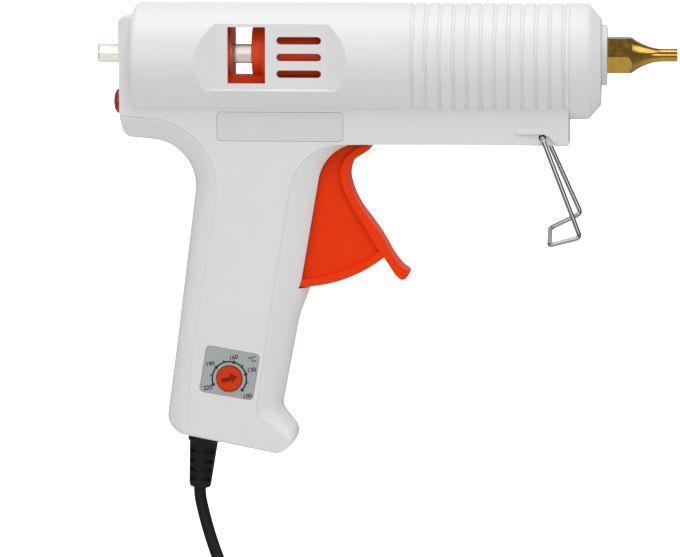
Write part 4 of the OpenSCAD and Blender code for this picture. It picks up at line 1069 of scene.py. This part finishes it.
def floor_material():
    """Pale floor that fades to white with distance where it is seen, and is darker in a mirror."""
    mat = bpy.data.materials.new("pale_floor")
    mat.use_nodes = True
    tree = mat.node_tree
    nodes, links = tree.nodes, tree.links
    shader = nodes["Principled BSDF"]
    shader.inputs["Roughness"].default_value = 0.8
    place = nodes.new("ShaderNodeTexCoord")
    distance = nodes.new("ShaderNodeVectorMath")
    distance.operation = "LENGTH"
    links.new(place.outputs["Object"], distance.inputs[0])
    away = distance.outputs["Value"]
    path = nodes.new("ShaderNodeLightPath")
    shade = nodes.new("ShaderNodeMix")
    shade.data_type = "RGBA"
    shade.inputs[6].default_value = (0.86, 0.86, 0.86, 1)
    links.new(path.outputs["Is Glossy Ray"], shade.inputs[0])
    links.new(map_range(tree, away, (0.25, 0.6), (0.55, 0.18)), shade.inputs[7])
    links.new(shade.outputs[2], shader.inputs["Base Color"])
    glow = nodes.new("ShaderNodeEmission")
    glow.inputs["Strength"].default_value = 1.6
    scaled = nodes.new("ShaderNodeMath")
    scaled.operation = "MULTIPLY"
    links.new(seen_directly(tree), scaled.inputs[0])
    links.new(map_range(tree, away, (0.35, 0.8), (0.38, 1.0)), scaled.inputs[1])
    mix = nodes.new("ShaderNodeMixShader")
    links.new(scaled.outputs[0], mix.inputs["Fac"])
    links.new(shader.outputs["BSDF"], mix.inputs[1])
    links.new(glow.outputs["Emission"], mix.inputs[2])
    links.new(mix.outputs["Shader"], nodes["Material Output"].inputs["Surface"])
    return mat


def make_stage():
    size = FLOOR_HALF
    mesh = bpy.data.meshes.new("floor")
    corners = [(-size, -size, 0), (size, -size, 0), (size, size, 0), (-size, size, 0)]
    mesh.from_pydata(corners, [], [[0, 1, 2, 3]])
    mesh.materials.append(floor_material())
    floor = linked("floor", mesh)
    floor.location.z = FLOOR_Z


def mirrored_room(tree, way):
    """Brightness of the dark room and its panels, each added to the one before."""
    room = None
    for towards, bright, facing in PANELS:
        turned_to = tree.nodes.new("ShaderNodeVectorMath")
        turned_to.operation = "DOT_PRODUCT"
        turned_to.inputs[1].default_value = towards
        tree.links.new(way, turned_to.inputs[0])
        panel = map_range(tree, turned_to.outputs["Value"], facing, (0, bright), smooth=True)
        total = tree.nodes.new("ShaderNodeMath")
        total.inputs[0].default_value = ROOM_DIM
        if room:
            tree.links.new(room, total.inputs[0])
        tree.links.new(panel, total.inputs[1])
        room = total.outputs[0]
    return room


def make_world():
    world = bpy.data.worlds.new("studio")
    scene.world = world
    world.use_nodes = True
    tree = world.node_tree
    nodes, links = tree.nodes, tree.links
    background = nodes["Background"]
    background.inputs["Color"].default_value = (1, 1, 1, 1)
    place = nodes.new("ShaderNodeTexCoord")
    height = nodes.new("ShaderNodeSeparateXYZ")
    links.new(place.outputs["Generated"], height.inputs["Vector"])
    path = nodes.new("ShaderNodeLightPath")
    choose = nodes.new("ShaderNodeMix")
    links.new(path.outputs["Is Glossy Ray"], choose.inputs[0])
    links.new(map_range(tree, height.outputs["Z"], (-0.05, 0.8), (0.33, 0.7)), choose.inputs[2])
    links.new(mirrored_room(tree, place.outputs["Generated"]), choose.inputs[3])
    links.new(choose.outputs[0], background.inputs["Strength"])
    white = nodes.new("ShaderNodeBackground")
    white.inputs["Color"].default_value = (1, 1, 1, 1)
    mix = nodes.new("ShaderNodeMixShader")
    links.new(seen_directly(tree), mix.inputs["Fac"])
    links.new(background.outputs["Background"], mix.inputs[1])
    links.new(white.outputs["Background"], mix.inputs[2])
    links.new(mix.outputs["Shader"], nodes["World Output"].inputs["Surface"])


def make_lamps():
    for name, spot, size, watts in LAMPS:
        data = bpy.data.lights.new(name, "AREA")
        data.shape = "DISK"
        data.size = size
        data.energy = watts
        lamp = linked(name, data)
        lamp.location = spot
        lamp.visible_glossy = name == "top"
        lamp.rotation_euler = (Vector(spot) - LAMP_TARGET).to_track_quat("Z", "Y").to_euler()


make_stage()
make_world()
make_lamps()
